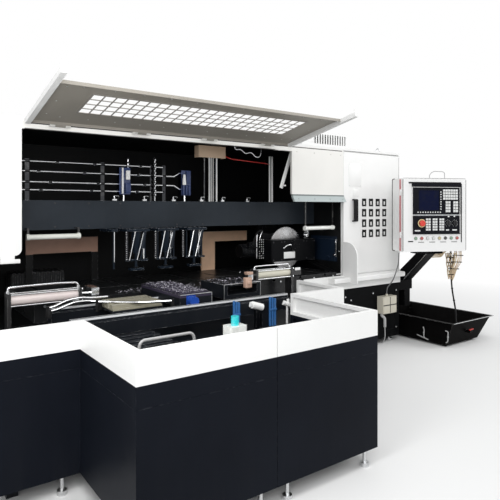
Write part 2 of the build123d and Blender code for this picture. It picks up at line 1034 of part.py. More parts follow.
# Electric cabinet with its mounting plate, and the door with louvres
shell_front = y_enclosure + door_thickness + door_seat_gap
door_left = x_cabinet + door_gap
door_right = x_base_right - door_gap
door_bottom = apron_top + door_gap
door_top = roof_bottom - door_lug_height - door_gap
door_pin_x = x_base_right - door_pin_inset
door_pin_y = y_enclosure + door_thickness / 2
with BuildPart() as cabinet_shell:
    block(x_cabinet, x_base_right, shell_front, cabinet_back, base_top, roof_bottom)
    block(
        x_cabinet + wall,
        x_base_right - wall,
        shell_front - 1,
        cabinet_back - wall,
        apron_top,
        roof_bottom - wall,
        mode=Mode.SUBTRACT,
    )
    block(
        x_cabinet + 3 * wall,
        x_base_right - 3 * wall,
        cabinet_back - wall - sheet,
        cabinet_back - wall,
        apron_top + 2 * wall,
        roof_bottom - 3 * wall,
    )
    module_pitch = (roof_bottom - apron_top - 10 * wall) / module_rows
    for i in range(module_rows):
        row_z = apron_top + 6 * wall + i * module_pitch
        block(
            x_cabinet + 5 * wall,
            x_base_right - 5 * wall,
            cabinet_back - 5 * wall,
            cabinet_back - wall - sheet,
            row_z,
            row_z + module_height,
        )
    for lug_z0, lug_z1, pin_z0, pin_z1 in (
        (roof_bottom - door_lug_height, roof_bottom, door_top - door_pin_length, roof_bottom - 1),
        (apron_top - door_lug_height, apron_top, apron_top - 1, door_bottom + door_pin_length),
    ):
        block(
            x_base_right - door_lug,
            x_base_right,
            y_enclosure + seat_gap,
            shell_front + wall / 2,
            lug_z0,
            lug_z1,
        )
        rod_z(door_pin_x, door_pin_y, pin_z0, pin_z1, door_pin_radius)
    # sloped chute and cover sheet on the side toward the saw
    chute_y0 = y_enclosure + chute_front_gap
    with BuildSketch(Plane.YZ.offset(x_cabinet - chute_width)):
        with BuildLine():
            Polyline(
                (chute_y0, chute_front_z),
                (chute_y0 + chute_depth, chute_back_z),
                (chute_y0 + chute_depth, chute_back_z - chute_thickness),
                (chute_y0, chute_front_z - chute_thickness),
                close=True,
            )
        make_face()
    extrude(amount=chute_width + 1)
    block(
        x_cabinet - side_sheet_thickness,
        x_cabinet + 1,
        y_enclosure + side_sheet_front_gap,
        y_enclosure + side_sheet_front_gap + side_sheet_depth,
        side_sheet_low,
        side_sheet_high,
    )
    rod_x(
        x_cabinet - side_sheet_thickness - side_knob_radius,
        x_cabinet - side_sheet_thickness,
        y_enclosure + side_sheet_front_gap + side_sheet_depth / 3,
        side_sheet_low + 2 * side_knob_radius,
        side_knob_radius,
    )
save(cabinet_shell.part, "cabinet_shell")

louvre_left = x_cabinet + louvre_inset
louvre_places = [
    (
        louvre_left + i * louvre_pitch_x + louvre_width / 2,
        y_enclosure,
        louvre_bottom + j * louvre_pitch_z + (slot + 0.5) * louvre_height / louvre_slots,
    )
    for i in range(louvre_columns)
    for j in range(louvre_rows)
    for slot in range(louvre_slots)
]
with BuildPart() as cabinet_door:
    block(door_left, door_right, y_enclosure, y_enclosure + door_thickness, door_bottom, door_top)
    chamfer(cabinet_door.edges().filter_by(Axis.Z), 2)
    block(
        door_left + wall,
        door_right - 2 * wall,
        y_enclosure + sheet,
        y_enclosure + door_thickness + 1,
        door_bottom + wall,
        door_top - wall,
        mode=Mode.SUBTRACT,
    )
    with Locations(*louvre_places):
        Box(louvre_width, 2 * sheet + 2, louvre_slot_height, mode=Mode.SUBTRACT)
    for pin_z0, pin_z1 in (
        (door_bottom - 1, door_bottom + door_pin_length + 1),
        (door_top - door_pin_length - 1, door_top + 1),
    ):
        rod_z(door_pin_x, door_pin_y, pin_z0, pin_z1, door_pin_radius + hinge_bore_gap, mode=Mode.SUBTRACT)
save(cabinet_door.part, "cabinet_door")

handle_x = x_cabinet + handle_inset
handle_z = handle_bottom
with BuildPart() as door_handle:
    block(
        handle_x - handle_width / 2,
        handle_x + handle_width / 2,
        y_enclosure - handle_reach,
        y_enclosure,
        handle_z,
        handle_z + handle_height,
    )
    fillet(door_handle.edges().filter_by(Axis.X).group_by(Axis.Y)[0], handle_reach * 0.45)
    block(
        handle_x - handle_width / 2 - 1,
        handle_x + handle_width / 2 + 1,
        y_enclosure - handle_reach + handle_bar,
        y_enclosure + 1,
        handle_z + handle_bar,
        handle_z + handle_height - handle_bar,
        mode=Mode.SUBTRACT,
    )
save(door_handle.part, "door_handle")

# Lifting flap: a framed grid with side channels, hinged under the roof's edge.
# Its plane starts at the hinge axis; local X runs right, local Y runs back.
tilt = radians(flap_angle)
flap_plane = Plane(
    origin=(0, hinge_y, hinge_height),
    x_dir=(1, 0, 0),
    z_dir=(0, sin(tilt), cos(tilt)),
)
flap_back = -hinge_offset - 6
mesh_x0 = flap_left_x + mesh_margin_side
mesh_x1 = flap_right_x - mesh_margin_side
mesh_y0 = -flap_length + mesh_margin_front
mesh_y1 = flap_back - mesh_margin_back
with BuildPart(flap_plane) as flap_frame:
    block(flap_left_x, flap_right_x, -flap_length, flap_back, -flap_thickness / 2, flap_thickness / 2)
    block(
        flap_left_x + sheet,
        flap_right_x - sheet,
        -flap_length + sheet,
        flap_back - sheet,
        -flap_thickness / 2 - 1,
        flap_thickness / 2 - sheet,
        mode=Mode.SUBTRACT,
    )
    block(mesh_x0, mesh_x1, mesh_y0, mesh_y1, 0, flap_thickness, mode=Mode.SUBTRACT)
    for x0, x1 in (
        (flap_left_x, flap_left_x + flap_arm_width),
        (flap_right_x - flap_arm_width, flap_right_x),
    ):
        arm_end = -flap_length - flap_arm_reach
        block(x0, x1, arm_end, flap_back, -flap_thickness, -flap_thickness + sheet)
        block(x0, x0 + sheet, arm_end, flap_back, -flap_thickness, flap_thickness / 2)
        block(x1 - sheet, x1, arm_end, flap_back, -flap_thickness, flap_thickness / 2)
        block(x0, x1, arm_end, arm_end + sheet, -flap_thickness, 2 * flap_thickness)
    for i in range(hinge_count):
        centre = hinge_left + i * hinge_pitch
        lug = hinge_length / 4
        rod_x(centre - lug, centre + lug, 0, 0, hinge_radius + 6)
        block(centre - lug, centre + lug, flap_back - sheet, 0, flap_thickness / 2 - 6, flap_thickness / 2)
        rod_x(centre - lug - 1, centre + lug + 1, 0, 0, hinge_radius + hinge_bore_gap, mode=Mode.SUBTRACT)
save(flap_frame.part, "flap_frame")

cell_x = (mesh_x1 - mesh_x0) / mesh_columns
cell_y = (mesh_y1 - mesh_y0) / mesh_rows
mesh_z = flap_thickness / 2 - sheet
with BuildPart(flap_plane) as flap_mesh:
    block(mesh_x0 - mesh_bar, mesh_x1 + mesh_bar, mesh_y0 - mesh_bar, mesh_y1 + mesh_bar, mesh_z - mesh_thickness, mesh_z)
    with Locations(((mesh_x0 + mesh_x1) / 2, (mesh_y0 + mesh_y1) / 2, mesh_z - mesh_thickness / 2)):
        with GridLocations(cell_x, cell_y, mesh_columns, mesh_rows):
            Box(cell_x - mesh_bar, cell_y - mesh_bar, mesh_thickness * 2, mode=Mode.SUBTRACT)
save(flap_mesh.part, "flap_mesh")

# Cross beam: a hollow box with two guide rails on its back
beam_back = beam_front + beam_depth
with BuildPart() as cross_beam:
    block(x_opening, x_cabinet, beam_front, beam_back, beam_bottom, beam_top)
    block(
        x_opening - 1,
        x_cabinet + 1,
        beam_front + beam_wall,
        beam_back - beam_wall,
        beam_bottom + beam_wall,
        beam_top - beam_wall,
        mode=Mode.SUBTRACT,
    )
    for rail_z in (rail_low, rail_high):
        block(
            x_opening + wall,
            x_cabinet - wall,
            beam_back,
            beam_back + rail_thickness,
            rail_z - rail_width / 2,
            rail_z + rail_width / 2,
        )
save(cross_beam.part, "cross_beam")

# Saw carriage behind the beam, with shoes round the rails and upright slide rails
carriage_front = beam_back + rail_thickness + seat_gap
shoe_height = 26
shoe_length = 110
slide_front = carriage_front - slide_rail_depth
with BuildPart() as saw_carriage:
    block(
        blade_x - carriage_half_width,
        blade_x + carriage_half_width,
        carriage_front,
        carriage_front + carriage_thickness,
        carriage_bottom,
        carriage_top,
    )
    chamfer(saw_carriage.edges().filter_by(Axis.Y), 20)
    for rail_z in (rail_low, rail_high):
        for side in (-1, 1):
            shoe_x = blade_x + side * (carriage_half_width - shoe_length / 2 - 20)
            for half in (-1, 1):
                shoe_z = rail_z + half * (rail_width / 2 + seat_gap)
                block(
                    shoe_x - shoe_length / 2,
                    shoe_x + shoe_length / 2,
                    beam_back + 2,
                    carriage_front,
                    shoe_z,
                    shoe_z + half * shoe_height,
                )
    for side in (-1, 1):
        slide_x = blade_x + side * slide_rail_offset
        block(
            slide_x - slide_rail_width / 2,
            slide_x + slide_rail_width / 2,
            slide_front,
            carriage_front,
            carriage_bottom,
            rail_low - rail_width / 2 - seat_gap - shoe_height,
        )
save(saw_carriage.part, "saw_carriage")

# Saw head: gear case in front of the blade, spindle housing behind it, and motor
band_back = head_front + head_band_depth
rear_front = band_back + head_gap
rear_back = rear_front + head_rear_depth
saddle_back = slide_front - seat_gap
arbor_radius = blade_bore - arbor_gap
head_rear_top = head_band_top + head_rear_rise
motor_y = (rear_front + rear_back) / 2
with BuildPart() as saw_head:
    block(
        blade_x - head_half_width,
        blade_x + head_half_width,
        head_front,
        band_back,
        head_band_bottom,
        head_band_top,
    )
    fillet(saw_head.edges().filter_by(Axis.Z).group_by(Axis.Y)[0], 18)
    block(
        blade_x - head_half_width,
        blade_x + head_half_width,
        rear_front,
        rear_back,
        head_band_bottom + 40,
        head_rear_top,
    )
    for side in (-1, 1):
        block(
            blade_x + side * (head_half_width - head_cheek),
            blade_x + side * head_half_width,
            band_back,
            rear_front,
            head_band_bottom + 60,
            head_band_top - 40,
        )
    rod_y(blade_x, head_front - head_boss_depth, head_front, head_boss_z, head_boss_radius)
    rod_y(
        blade_x,
        head_front - head_boss_depth - head_nut_depth,
        head_front - head_boss_depth,
        head_boss_z,
        head_boss_radius / 2,
    )
    block(blade_x - 160, blade_x + 160, rear_back, saddle_back, head_band_bottom + 60, head_rear_top)
    for side in (-1, 1):
        inner_x = blade_x + side * (slide_rail_offset + slide_rail_width / 2 + seat_gap)
        block(
            inner_x,
            inner_x + side * 25,
            saddle_back - 1,
            saddle_back + slide_rail_depth - 2,
            head_band_bottom + 60,
            head_rear_top,
        )
        block(
            min(inner_x + side * 25, blade_x + side * 100),
            max(inner_x + side * 25, blade_x + side * 100),
            saddle_back - 20,
            saddle_back,
            head_band_bottom + 60,
            head_rear_top,
        )
    rod_x(
        blade_x - head_half_width - motor_length,
        blade_x - head_half_width,
        motor_y,
        motor_z,
        motor_radius,
    )
    rod_y(blade_x, band_back - arbor_depth, band_back + 1, blade_z, arbor_radius + hinge_bore_gap, mode=Mode.SUBTRACT)
    rod_y(blade_x, rear_front - 1, rear_front + arbor_depth, blade_z, arbor_radius + hinge_bore_gap, mode=Mode.SUBTRACT)
save(saw_head.part, "saw_head")

# Blade with raked teeth, and its arbor with a clamping flange on each side
tooth_pitch = 360 / blade_teeth
tooth_root = blade_radius - blade_tooth_depth
with BuildPart() as saw_blade:
    with BuildSketch(Plane.XZ.offset(-(blade_y + blade_thickness / 2))):
        with Locations((blade_x, blade_z)):
            Circle(blade_radius)
            Circle(blade_bore, mode=Mode.SUBTRACT)
        for i in range(blade_teeth):
            a0 = radians(i * tooth_pitch)
            a1 = radians((i + blade_gullet_share) * tooth_pitch)
            reach = blade_radius + 2
            with BuildLine():
                Polyline(
                    (blade_x + tooth_root * cos(a0), blade_z + tooth_root * sin(a0)),
                    (blade_x + reach * cos(a0), blade_z + reach * sin(a0)),
                    (blade_x + reach * cos(a1), blade_z + reach * sin(a1)),
                    close=True,
                )
            make_face(mode=Mode.SUBTRACT)
    extrude(amount=blade_thickness)
save(saw_blade.part, "saw_blade")

flange_clear = 1
with BuildPart() as blade_flange:
    rod_y(
        blade_x,
        band_back - arbor_depth + 2,
        rear_front + arbor_depth - 2,
        blade_z,
        arbor_radius,
    )
    rod_y(blade_x, band_back + flange_clear, blade_y - blade_thickness / 2, blade_z, flange_radius)
    rod_y(blade_x, blade_y + blade_thickness / 2, rear_front - flange_clear, blade_z, flange_radius)
save(blade_flange.part, "blade_flange")

# Hold-down units: plates under the beam with tapered cylinders and guide rods
plate_top = beam_bottom
plate_bottom = plate_top - hold_down_plate_thickness
cylinder_bottom = plate_bottom - hold_down_cylinder_length
bridge_z = 1120
bridge_thickness = 14
with BuildPart() as hold_down_guides:
    for station in hold_down_stations:
        unit_x = x_left + station
        block(
            unit_x - hold_down_plate_width / 2,
            unit_x + hold_down_plate_width / 2,
            hold_down_y - hold_down_plate_depth / 2,
            beam_front + 50,
            plate_bottom,
            plate_top,
        )
        with Locations((unit_x, hold_down_y, (plate_bottom + cylinder_bottom) / 2)):
            Cone(hold_down_cylinder_foot, hold_down_cylinder_top, hold_down_cylinder_length)
        for side in (-1, 1):
            rod_z(
                unit_x + side * guide_rod_offset,
                hold_down_y,
                bridge_z,
                plate_bottom,
                guide_rod_radius,
            )
        block(
            unit_x - guide_rod_offset - 14,
            unit_x + guide_rod_offset + 14,
            hold_down_y - 20,
            hold_down_y + 20,
            bridge_z,
            bridge_z + bridge_thickness,
        )
        slant_x = unit_x + slant_offset
        slant_y = hold_down_y - slant_forward
        for slant_z0, slant_z1, slant_r in (
            (plate_bottom - slant_length, plate_bottom + 10, slant_radius),
            (bridge_z + bridge_thickness / 2, plate_bottom, slant_rod_radius),
        ):
            middle = (slant_z0 + slant_z1) / 2
            shift = (plate_bottom - middle) * sin(radians(slant_angle))
            with Locations(Location((slant_x - shift, slant_y, middle), (0, slant_angle, 0))):
                Cylinder(slant_r, slant_z1 - slant_z0)
        block(
            slant_x - guide_rod_offset / 2,
            slant_x + guide_rod_offset / 4,
            slant_y - slant_radius,
            hold_down_y,
            bridge_z,
            bridge_z + bridge_thickness,
        )
        rod_z(
            unit_x,
            hold_down_y,
            bridge_z - 1,
            plate_bottom - 20,
            hold_down_rod_radius + hold_down_rod_gap,
            mode=Mode.SUBTRACT,
        )
    feeler_x = x_left + feeler_station
    block(feeler_x - 25, feeler_x + 25, hold_down_y - 25, beam_front + 50, plate_bottom, plate_top)
    rod_z(feeler_x, hold_down_y, hold_down_pad_bottom + 26, plate_bottom, feeler_radius)
save(hold_down_guides.part, "hold_down_guides")

for number, station in enumerate(hold_down_stations, 1):
    unit_x = x_left + station
    with BuildPart() as hold_down_foot:
        block(
            unit_x - hold_down_pad_width / 2,
            unit_x + hold_down_pad_width / 2,
            hold_down_y - hold_down_pad_depth / 2,
            hold_down_y + hold_down_pad_depth / 2,
            hold_down_pad_bottom,
            hold_down_pad_bottom + hold_down_pad_thickness,
        )
        chamfer(hold_down_foot.edges().group_by(Axis.Z)[0], 6)
        rod_z(
            unit_x,
            hold_down_y,
            hold_down_pad_bottom + hold_down_pad_thickness,
            plate_bottom - 24,
            hold_down_rod_radius,
        )
    save(hold_down_foot.part, "hold_down_foot_" + str(number))

# Pipes, valves, lifting unit and post standing on the beam
with BuildPart() as pipe_manifold:
    for station in clamp_bar_stations:
        bar_x = x_left + station
        block(
            bar_x - clamp_bar_width / 2,
            bar_x + clamp_bar_width / 2,
            pipe_y + pipe_radius - 2,
            pipe_y + pipe_radius - 2 + clamp_bar_thickness,
            beam_top,
            pipe_heights[-1] + 2 * pipe_radius,
        )
    for pipe_z in pipe_heights:
        rod_x(x_left + pipe_left, x_left + pipe_right, pipe_y, pipe_z, pipe_radius)
    for pipe_z, rise in ((pipe_heights[2], bend_rise), (pipe_heights[1], -bend_rise)):
        with BuildLine() as bend:
            Polyline(
                (x_left + pipe_right - pipe_radius, pipe_y, pipe_z),
                (x_left + pipe_right + bend_run, pipe_y, pipe_z),
                (x_left + pipe_right + bend_reach, pipe_y, pipe_z + rise),
            )
        with BuildSketch(Plane(origin=bend.line @ 0, z_dir=bend.line % 0)):
            Circle(pipe_radius)
        sweep(path=bend.line, transition=Transition.RIGHT)
    for station in (1524, 2150):
        valve_x = x_left + station
        block(
            valve_x - valve_width / 2,
            valve_x + valve_width / 2,
            pipe_y - valve_depth / 2,
            pipe_y + valve_depth / 2,
            valve_low,
            valve_high,
        )
        rod_z(valve_x, pipe_y, beam_top, valve_low, pipe_radius)
    lift_x = x_left + lift_unit_station
    for side in (-1, 1):
        rod_z(
            lift_x + side * lift_unit_bottom_width / 2,
            pipe_y,
            beam_top,
            lift_unit_top,
            guide_rod_radius,
        )
    block(
        lift_x - lift_unit_head_width / 2,
        lift_x + lift_unit_head_width / 2,
        pipe_y - 40,
        pipe_y + 40,
        lift_unit_top,
        lift_unit_top + lift_unit_head_height,
    )
    post_x = x_cabinet - post_inset
    block(post_x - post_width / 2, post_x + post_width / 2, pipe_y - 25, pipe_y + 25, beam_top, post_top)
save(pipe_manifold.part, "pipe_manifold")

# Tube lamps: one hangs from the beam's front, one from the upper panel's back
with BuildPart() as work_lamps:
    for lamp_x, lamp_y, lamp_z, hanger_back, hanger_top in (
        (x_opening + beam_lamp_inset, beam_lamp_y, beam_lamp_z, beam_front, beam_bottom + 20),
        (x_upper_panel + front_lamp_inset, front_lamp_y, front_lamp_z, y_enclosure + wall, lip_top + 20),
    ):
        rod_x(lamp_x, lamp_x + lamp_length, lamp_y, lamp_z, lamp_radius)
        for cap_x in (lamp_x, lamp_x + lamp_length - lamp_cap_length):
            rod_x(cap_x, cap_x + lamp_cap_length, lamp_y, lamp_z, lamp_radius + 4)
            hanger_x = cap_x + (lamp_cap_length - lamp_hanger) / 2
            block(
                hanger_x,
                hanger_x + lamp_hanger,
                lamp_y - sheet,
                lamp_y + sheet,
                lamp_z,
                hanger_top,
            )
            block(
                hanger_x,
                hanger_x + lamp_hanger,
                lamp_y,
                hanger_back,
                hanger_top - 4 * sheet,
                hanger_top,
            )
save(work_lamps.part, "work_lamps")

# Side aligning clamps: barrels on brackets, with rods that carry the jaws
plate_half = clamp_plate / 2
left_x0 = x_left + left_clamp_station
left_x1 = left_x0 + left_clamp_barrel
with BuildPart() as clamp_cylinder_left:
    rod_x(left_x0, left_x1, left_clamp_y, clamp_z, clamp_barrel_radius)
    for x0 in (left_x0, left_x1 - clamp_plate_thickness):
        block(
            x0,
            x0 + clamp_plate_thickness,
            left_clamp_y - plate_half,
            left_clamp_y + plate_half,
            tray_height + 2 * sheet,
            clamp_z + plate_half,
        )
    rod_x(
        left_x1 - clamp_travel - 80,
        left_x1 + 1,
        left_clamp_y,
        clamp_z,
        clamp_rod_radius + clamp_rod_gap,
        mode=Mode.SUBTRACT,
    )
save(clamp_cylinder_left.part, "clamp_cylinder_left")

left_jaw = left_x1 + 60
with BuildPart() as clamp_rod_left:
    rod_x(left_x1 - clamp_travel - 70, left_jaw, left_clamp_y, clamp_z, clamp_rod_radius)
    block(
        left_jaw,
        left_jaw + clamp_jaw_thickness,
        left_clamp_y - clamp_jaw_width / 2,
        left_clamp_y + clamp_jaw_width / 2,
        clamp_z - clamp_jaw_height / 2,
        clamp_z + clamp_jaw_height / 2,
    )
save(clamp_rod_left.part, "clamp_rod_left")

right_x0 = guard_right_x - right_clamp_inset
right_x1 = right_x0 + right_clamp_barrel
with BuildPart() as clamp_cylinder_right:
    rod_x(right_x0, right_x1, right_clamp_y, clamp_z, clamp_barrel_radius)
    block(
        right_x0,
        right_x0 + clamp_plate_thickness,
        right_clamp_y - plate_half,
        right_clamp_y + plate_half,
        tray_height + 2 * sheet,
        clamp_z + plate_half,
    )
    block(
        right_x1 - clamp_plate_thickness,
        right_x1,
        right_clamp_y - plate_half,
        right_clamp_y + plate_half,
        apron_bottom,
        clamp_z + plate_half,
    )
    block(
        right_x1 - clamp_plate_thickness,
        right_x1,
        right_clamp_y + plate_half,
        y_enclosure,
        apron_bottom,
        base_top,
    )
    block(right_x1, right_x1 + 115, right_clamp_y - 30, right_clamp_y + 30, clamp_z - 30, clamp_z + 30)
    rod_x(
        right_x0 - 1,
        right_x0 + clamp_travel + 80,
        right_clamp_y,
        clamp_z,
        clamp_rod_radius + clamp_rod_gap,
        mode=Mode.SUBTRACT,
    )
save(clamp_cylinder_right.part, "clamp_cylinder_right")

right_jaw = right_x0 - 60
with BuildPart() as clamp_rod_right:
    rod_x(right_jaw, right_x0 + clamp_travel + 70, right_clamp_y, clamp_z, clamp_rod_radius)
    block(
        right_jaw - clamp_jaw_thickness,
        right_jaw,
        right_clamp_y - clamp_jaw_width / 2,
        right_clamp_y + clamp_jaw_width / 2,
        clamp_z - clamp_jaw_height / 2,
        clamp_z + clamp_jaw_height / 2,
    )
save(clamp_rod_right.part, "clamp_rod_right")

# Lubricating unit: oil tank with screw cap, and a pump under a tube hoop
tray_top = tray_height + 2 * sheet
with BuildPart() as lubricator:
    block(
        lub_x - lub_width / 2,
        lub_x + lub_width / 2,
        lub_y - lub_depth / 2,
        lub_y + lub_depth / 2,
        tray_top,
        lub_top,
    )
    fillet(lubricator.edges().filter_by(Axis.Z), 16)
    rod_z(lub_x, lub_y, lub_top, lub_top + lub_cap_height, lub_cap_radius)
    block(
        pump_x - pump_length / 2,
        pump_x + pump_length / 2,
        pump_y - pump_width / 2,
        pump_y + pump_width / 2,
        tray_top,
        tray_top + pump_block_height,
    )
    rod_x(
        pump_x - pump_length / 2 + pump_end_inset,
        pump_x + pump_length / 2 - pump_end_inset,
        pump_y,
        tray_top + pump_axis_height,
        pump_radius,
    )
    hoop_z = tray_top + hoop_height
    with BuildLine() as hoop:
        FilletPolyline(
            (pump_x - pump_length / 2 + hoop_inset, pump_y, tray_top + pump_block_height - 10),
            (pump_x - pump_length / 2 + hoop_inset, pump_y, hoop_z),
            (pump_x + pump_length / 2 - hoop_inset, pump_y, hoop_z),
            (pump_x + pump_length / 2 - hoop_inset, pump_y, tray_top + pump_block_height - 10),
            radius=hoop_bend,
        )
    with BuildSketch(Plane(origin=hoop.line @ 0, z_dir=hoop.line % 0)):
        Circle(hoop_radius)
    sweep(path=hoop.line)
save(lubricator.part, "lubricator")

# Coolant tank: an open flared trough with a rolled rim, and a drain tap
tank_bottom_x0 = tank_left
tank_bottom_x1 = x_right - tank_rim_width - tank_slope_right
tank_bottom_y0 = tank_front + tank_rim_width + tank_slope_front
tank_back = tank_front + tank_depth
tank_bottom_y1 = tank_back - tank_rim_width - tank_slope_front / 2
tank_top_x0 = tank_left + tank_rim_width - tank_slope_left
tank_top_x1 = x_right - tank_rim_width
tank_top_y0 = tank_front + tank_rim_width
tank_top_y1 = tank_back - tank_rim_width


def tank_section(inset, z, low):
    """A rectangle across the tank at its floor or its rim, set in by a wall."""
    if low:
        x0, x1, y0, y1 = tank_bottom_x0, tank_bottom_x1, tank_bottom_y0, tank_bottom_y1
    else:
        x0, x1, y0, y1 = tank_top_x0, tank_top_x1, tank_top_y0, tank_top_y1
    with BuildSketch(Plane.XY.offset(z)) as section:
        with Locations(((x0 + x1) / 2, (y0 + y1) / 2)):
            Rectangle(x1 - x0 - 2 * inset, y1 - y0 - 2 * inset)
    return section.sketch


tap_z = tap_height
tap_share = (tap_z - tank_floor_clear) / (tank_rim_height - tank_floor_clear)
tap_wall_y = tank_bottom_y0 + tap_share * (tank_top_y0 - tank_bottom_y0)
tap_x = tank_left + 330
with BuildPart() as coolant_tank:
    loft([tank_section(0, tank_floor_clear, True), tank_section(0, tank_rim_height, False)])
    loft(
        [
            tank_section(tank_wall, tank_floor_clear + tank_wall, True),
            tank_section(tank_wall, tank_rim_height + 0.01, False),
        ],
        mode=Mode.SUBTRACT,
    )
    rim_x0 = tank_top_x0 - tank_rim_width
    with BuildSketch(Plane.XY.offset(tank_rim_height - tank_wall)):
        with Locations(((rim_x0 + x_right) / 2, (tank_front + tank_back) / 2)):
            Rectangle(x_right - rim_x0, tank_back - tank_front)
        with Locations(((tank_top_x0 + tank_top_x1) / 2, (tank_top_y0 + tank_top_y1) / 2)):
            Rectangle(
                tank_top_x1 - tank_top_x0 - 2 * tank_wall,
                tank_top_y1 - tank_top_y0 - 2 * tank_wall,
                mode=Mode.SUBTRACT,
            )
    extrude(amount=tank_wall)
    for foot_x in (tank_bottom_x0 + 60, tank_bottom_x1 - 60):
        for foot_y in (tank_bottom_y0 + 60, tank_bottom_y1 - 60):
            rod_z(foot_x, foot_y, 0, tank_floor_clear + 1, 28)
    rod_y(tap_x, tap_wall_y - tap_reach, tap_wall_y + 4, tap_z, tap_radius)
    rod_z(tap_x, tap_wall_y - tap_reach + tap_radius, tap_z, tap_z + tap_radius + 16, 6)
save(coolant_tank.part, "coolant_tank")

lever_y = tap_wall_y - tap_reach + tap_radius
lever_z = tap_z + tap_radius + seat_gap
with BuildPart() as tank_tap_lever:
    rod_z(tap_x, lever_y, lever_z, lever_z + 12, 13)
    block(tap_x, tap_x + tap_lever_length, lever_y - 7, lever_y + 7, lever_z + 4, lever_z + 12)
    rod_z(tap_x, lever_y, lever_z - 1, lever_z + 13, 6 + hinge_bore_gap, mode=Mode.SUBTRACT)
save(tank_tap_lever.part, "tank_tap_lever")

# Junction box in the base's last recess, with a gland on top
junction_y0 = y_enclosure - junction_depth
junction_top = junction_bottom + junction_height
junction_gland = (junction_x - 6, y_enclosure - junction_depth / 2)
with BuildPart() as junction_box:
    block(
        junction_x - junction_width / 2,
        junction_x + junction_width / 2,
        junction_y0,
        y_enclosure + base_recess_depth,
        junction_bottom,
        junction_top,
    )
    fillet(junction_box.edges().filter_by(Axis.Z), 5)
    block(
        junction_x - junction_width / 2 + 8,
        junction_x + junction_width / 2 - 8,
        junction_y0 - 6,
        junction_y0,
        junction_bottom + 8,
        junction_top - 8,
    )
    rod_z(*junction_gland, junction_top, junction_top + gland_length, gland_radius)
save(junction_box.part, "junction_box")

# Control box: everything on it is placed from its door's front face, where local
# X runs along the door, local Y runs back into the box and local Z is up
box_turn = radians(box_yaw)
box_plane = Plane(
    origin=(box_x, box_y, box_bottom),
    x_dir=(cos(box_turn), sin(box_turn), 0),
    z_dir=(0, 0, 1),
)
half = box_width / 2
shell_y = box_door + box_seal
hinge_axis_x = -half - box_hinge_radius - 2
hinge_axis_y = box_door + box_seal / 2
hinge_zs = (150, box_height - 190)
knuckle = 34
cable_gland = (-half + 55, box_depth - 60)
hose_gland = (half - 85, box_depth - 90)
with BuildPart(box_plane) as control_housing:
    block(-half, half, shell_y, box_depth, 0, box_height)
    fillet(control_housing.edges().filter_by(Axis.Z).group_by(Axis.Y)[-1], box_corner)
    block(
        -half + box_wall,
        half - box_wall,
        shell_y - 1,
        box_depth - box_wall,
        box_wall,
        box_height - box_wall,
        mode=Mode.SUBTRACT,
    )
    for z0 in hinge_zs:
        rod_z(hinge_axis_x, hinge_axis_y, z0, z0 + knuckle, box_hinge_radius)
        block(hinge_axis_x, -half + box_wall, hinge_axis_y + 2, hinge_axis_y + 6, z0, z0 + knuckle)
        rod_z(hinge_axis_x, hinge_axis_y, z0 + knuckle, z0 + 2 * knuckle, box_hinge_radius / 2)
    for place in (cable_gland, hose_gland):
        rod_z(*place, -gland_length, 0, gland_radius)
save(control_housing.part, "control_housing")

display_x0 = -half + 116
display_x1 = half - 78
display_z1 = box_height - 92
display_z0 = display_z1 - display_height
keys_z1 = display_z0 - 16
keys_z0 = keys_z1 - key_panel_height
instrument = 12
with BuildPart(box_plane) as control_door:
    block(-half, half, 0, box_door, 0, box_height)
    fillet(control_door.edges().filter_by(Axis.Z).group_by(Axis.Y)[0], box_corner)
    block(
        -half + box_wall * 2,
        half - box_wall * 2,
        box_wall * 2,
        box_door + 1,
        box_wall * 2,
        box_height - box_wall * 2,
        mode=Mode.SUBTRACT,
    )
    block(
        display_x0 + 14,
        display_x1 - 14,
        -1,
        box_wall * 2 + 1,
        keys_z0 + 14,
        display_z1 - 14,
        mode=Mode.SUBTRACT,
    )
    for i in range(button_count):
        rod_y(
            -half + button_left + i * button_pitch,
            -1,
            box_wall * 2 + 1,
            button_row,
            button_radius + button_gap,
            mode=Mode.SUBTRACT,
        )
    for z0 in hinge_zs:
        k0 = z0 + knuckle + seat_gap
        k1 = z0 + 2 * knuckle
        rod_z(hinge_axis_x, hinge_axis_y, k0, k1, box_hinge_radius)
        block(hinge_axis_x, -half + box_wall, hinge_axis_y - 6, hinge_axis_y - 4.5, k0, k1)
        rod_z(
            hinge_axis_x,
            hinge_axis_y,
            k0 - 1,
            k1 + 1,
            box_hinge_radius / 2 + hinge_bore_gap,
            mode=Mode.SUBTRACT,
        )
save(control_door.part, "control_door")

estop_place = (display_x0 + 102, keys_z0 + 122)
knob_places = ((display_x1 - 158, keys_z0 + 122), (display_x1 - 72, keys_z0 + 122))
screen_x0 = display_x0 + 70
screen_x1 = screen_x0 + 245
screen_z0 = display_z0 + 45
screen_z1 = screen_z0 + 222
key_size = 13
key_height = 3
stem_radius = 12
knob_stem_radius = 8


def key_grid(x0, z0, columns, rows, pitch_x, pitch_z):
    """The middles of a group of raised keys on the operator panel."""
    return [
        (x0 + (i + 0.5) * pitch_x, -instrument - key_height / 2, z0 + (j + 0.5) * pitch_z)
        for i in range(columns)
        for j in range(rows)
    ]


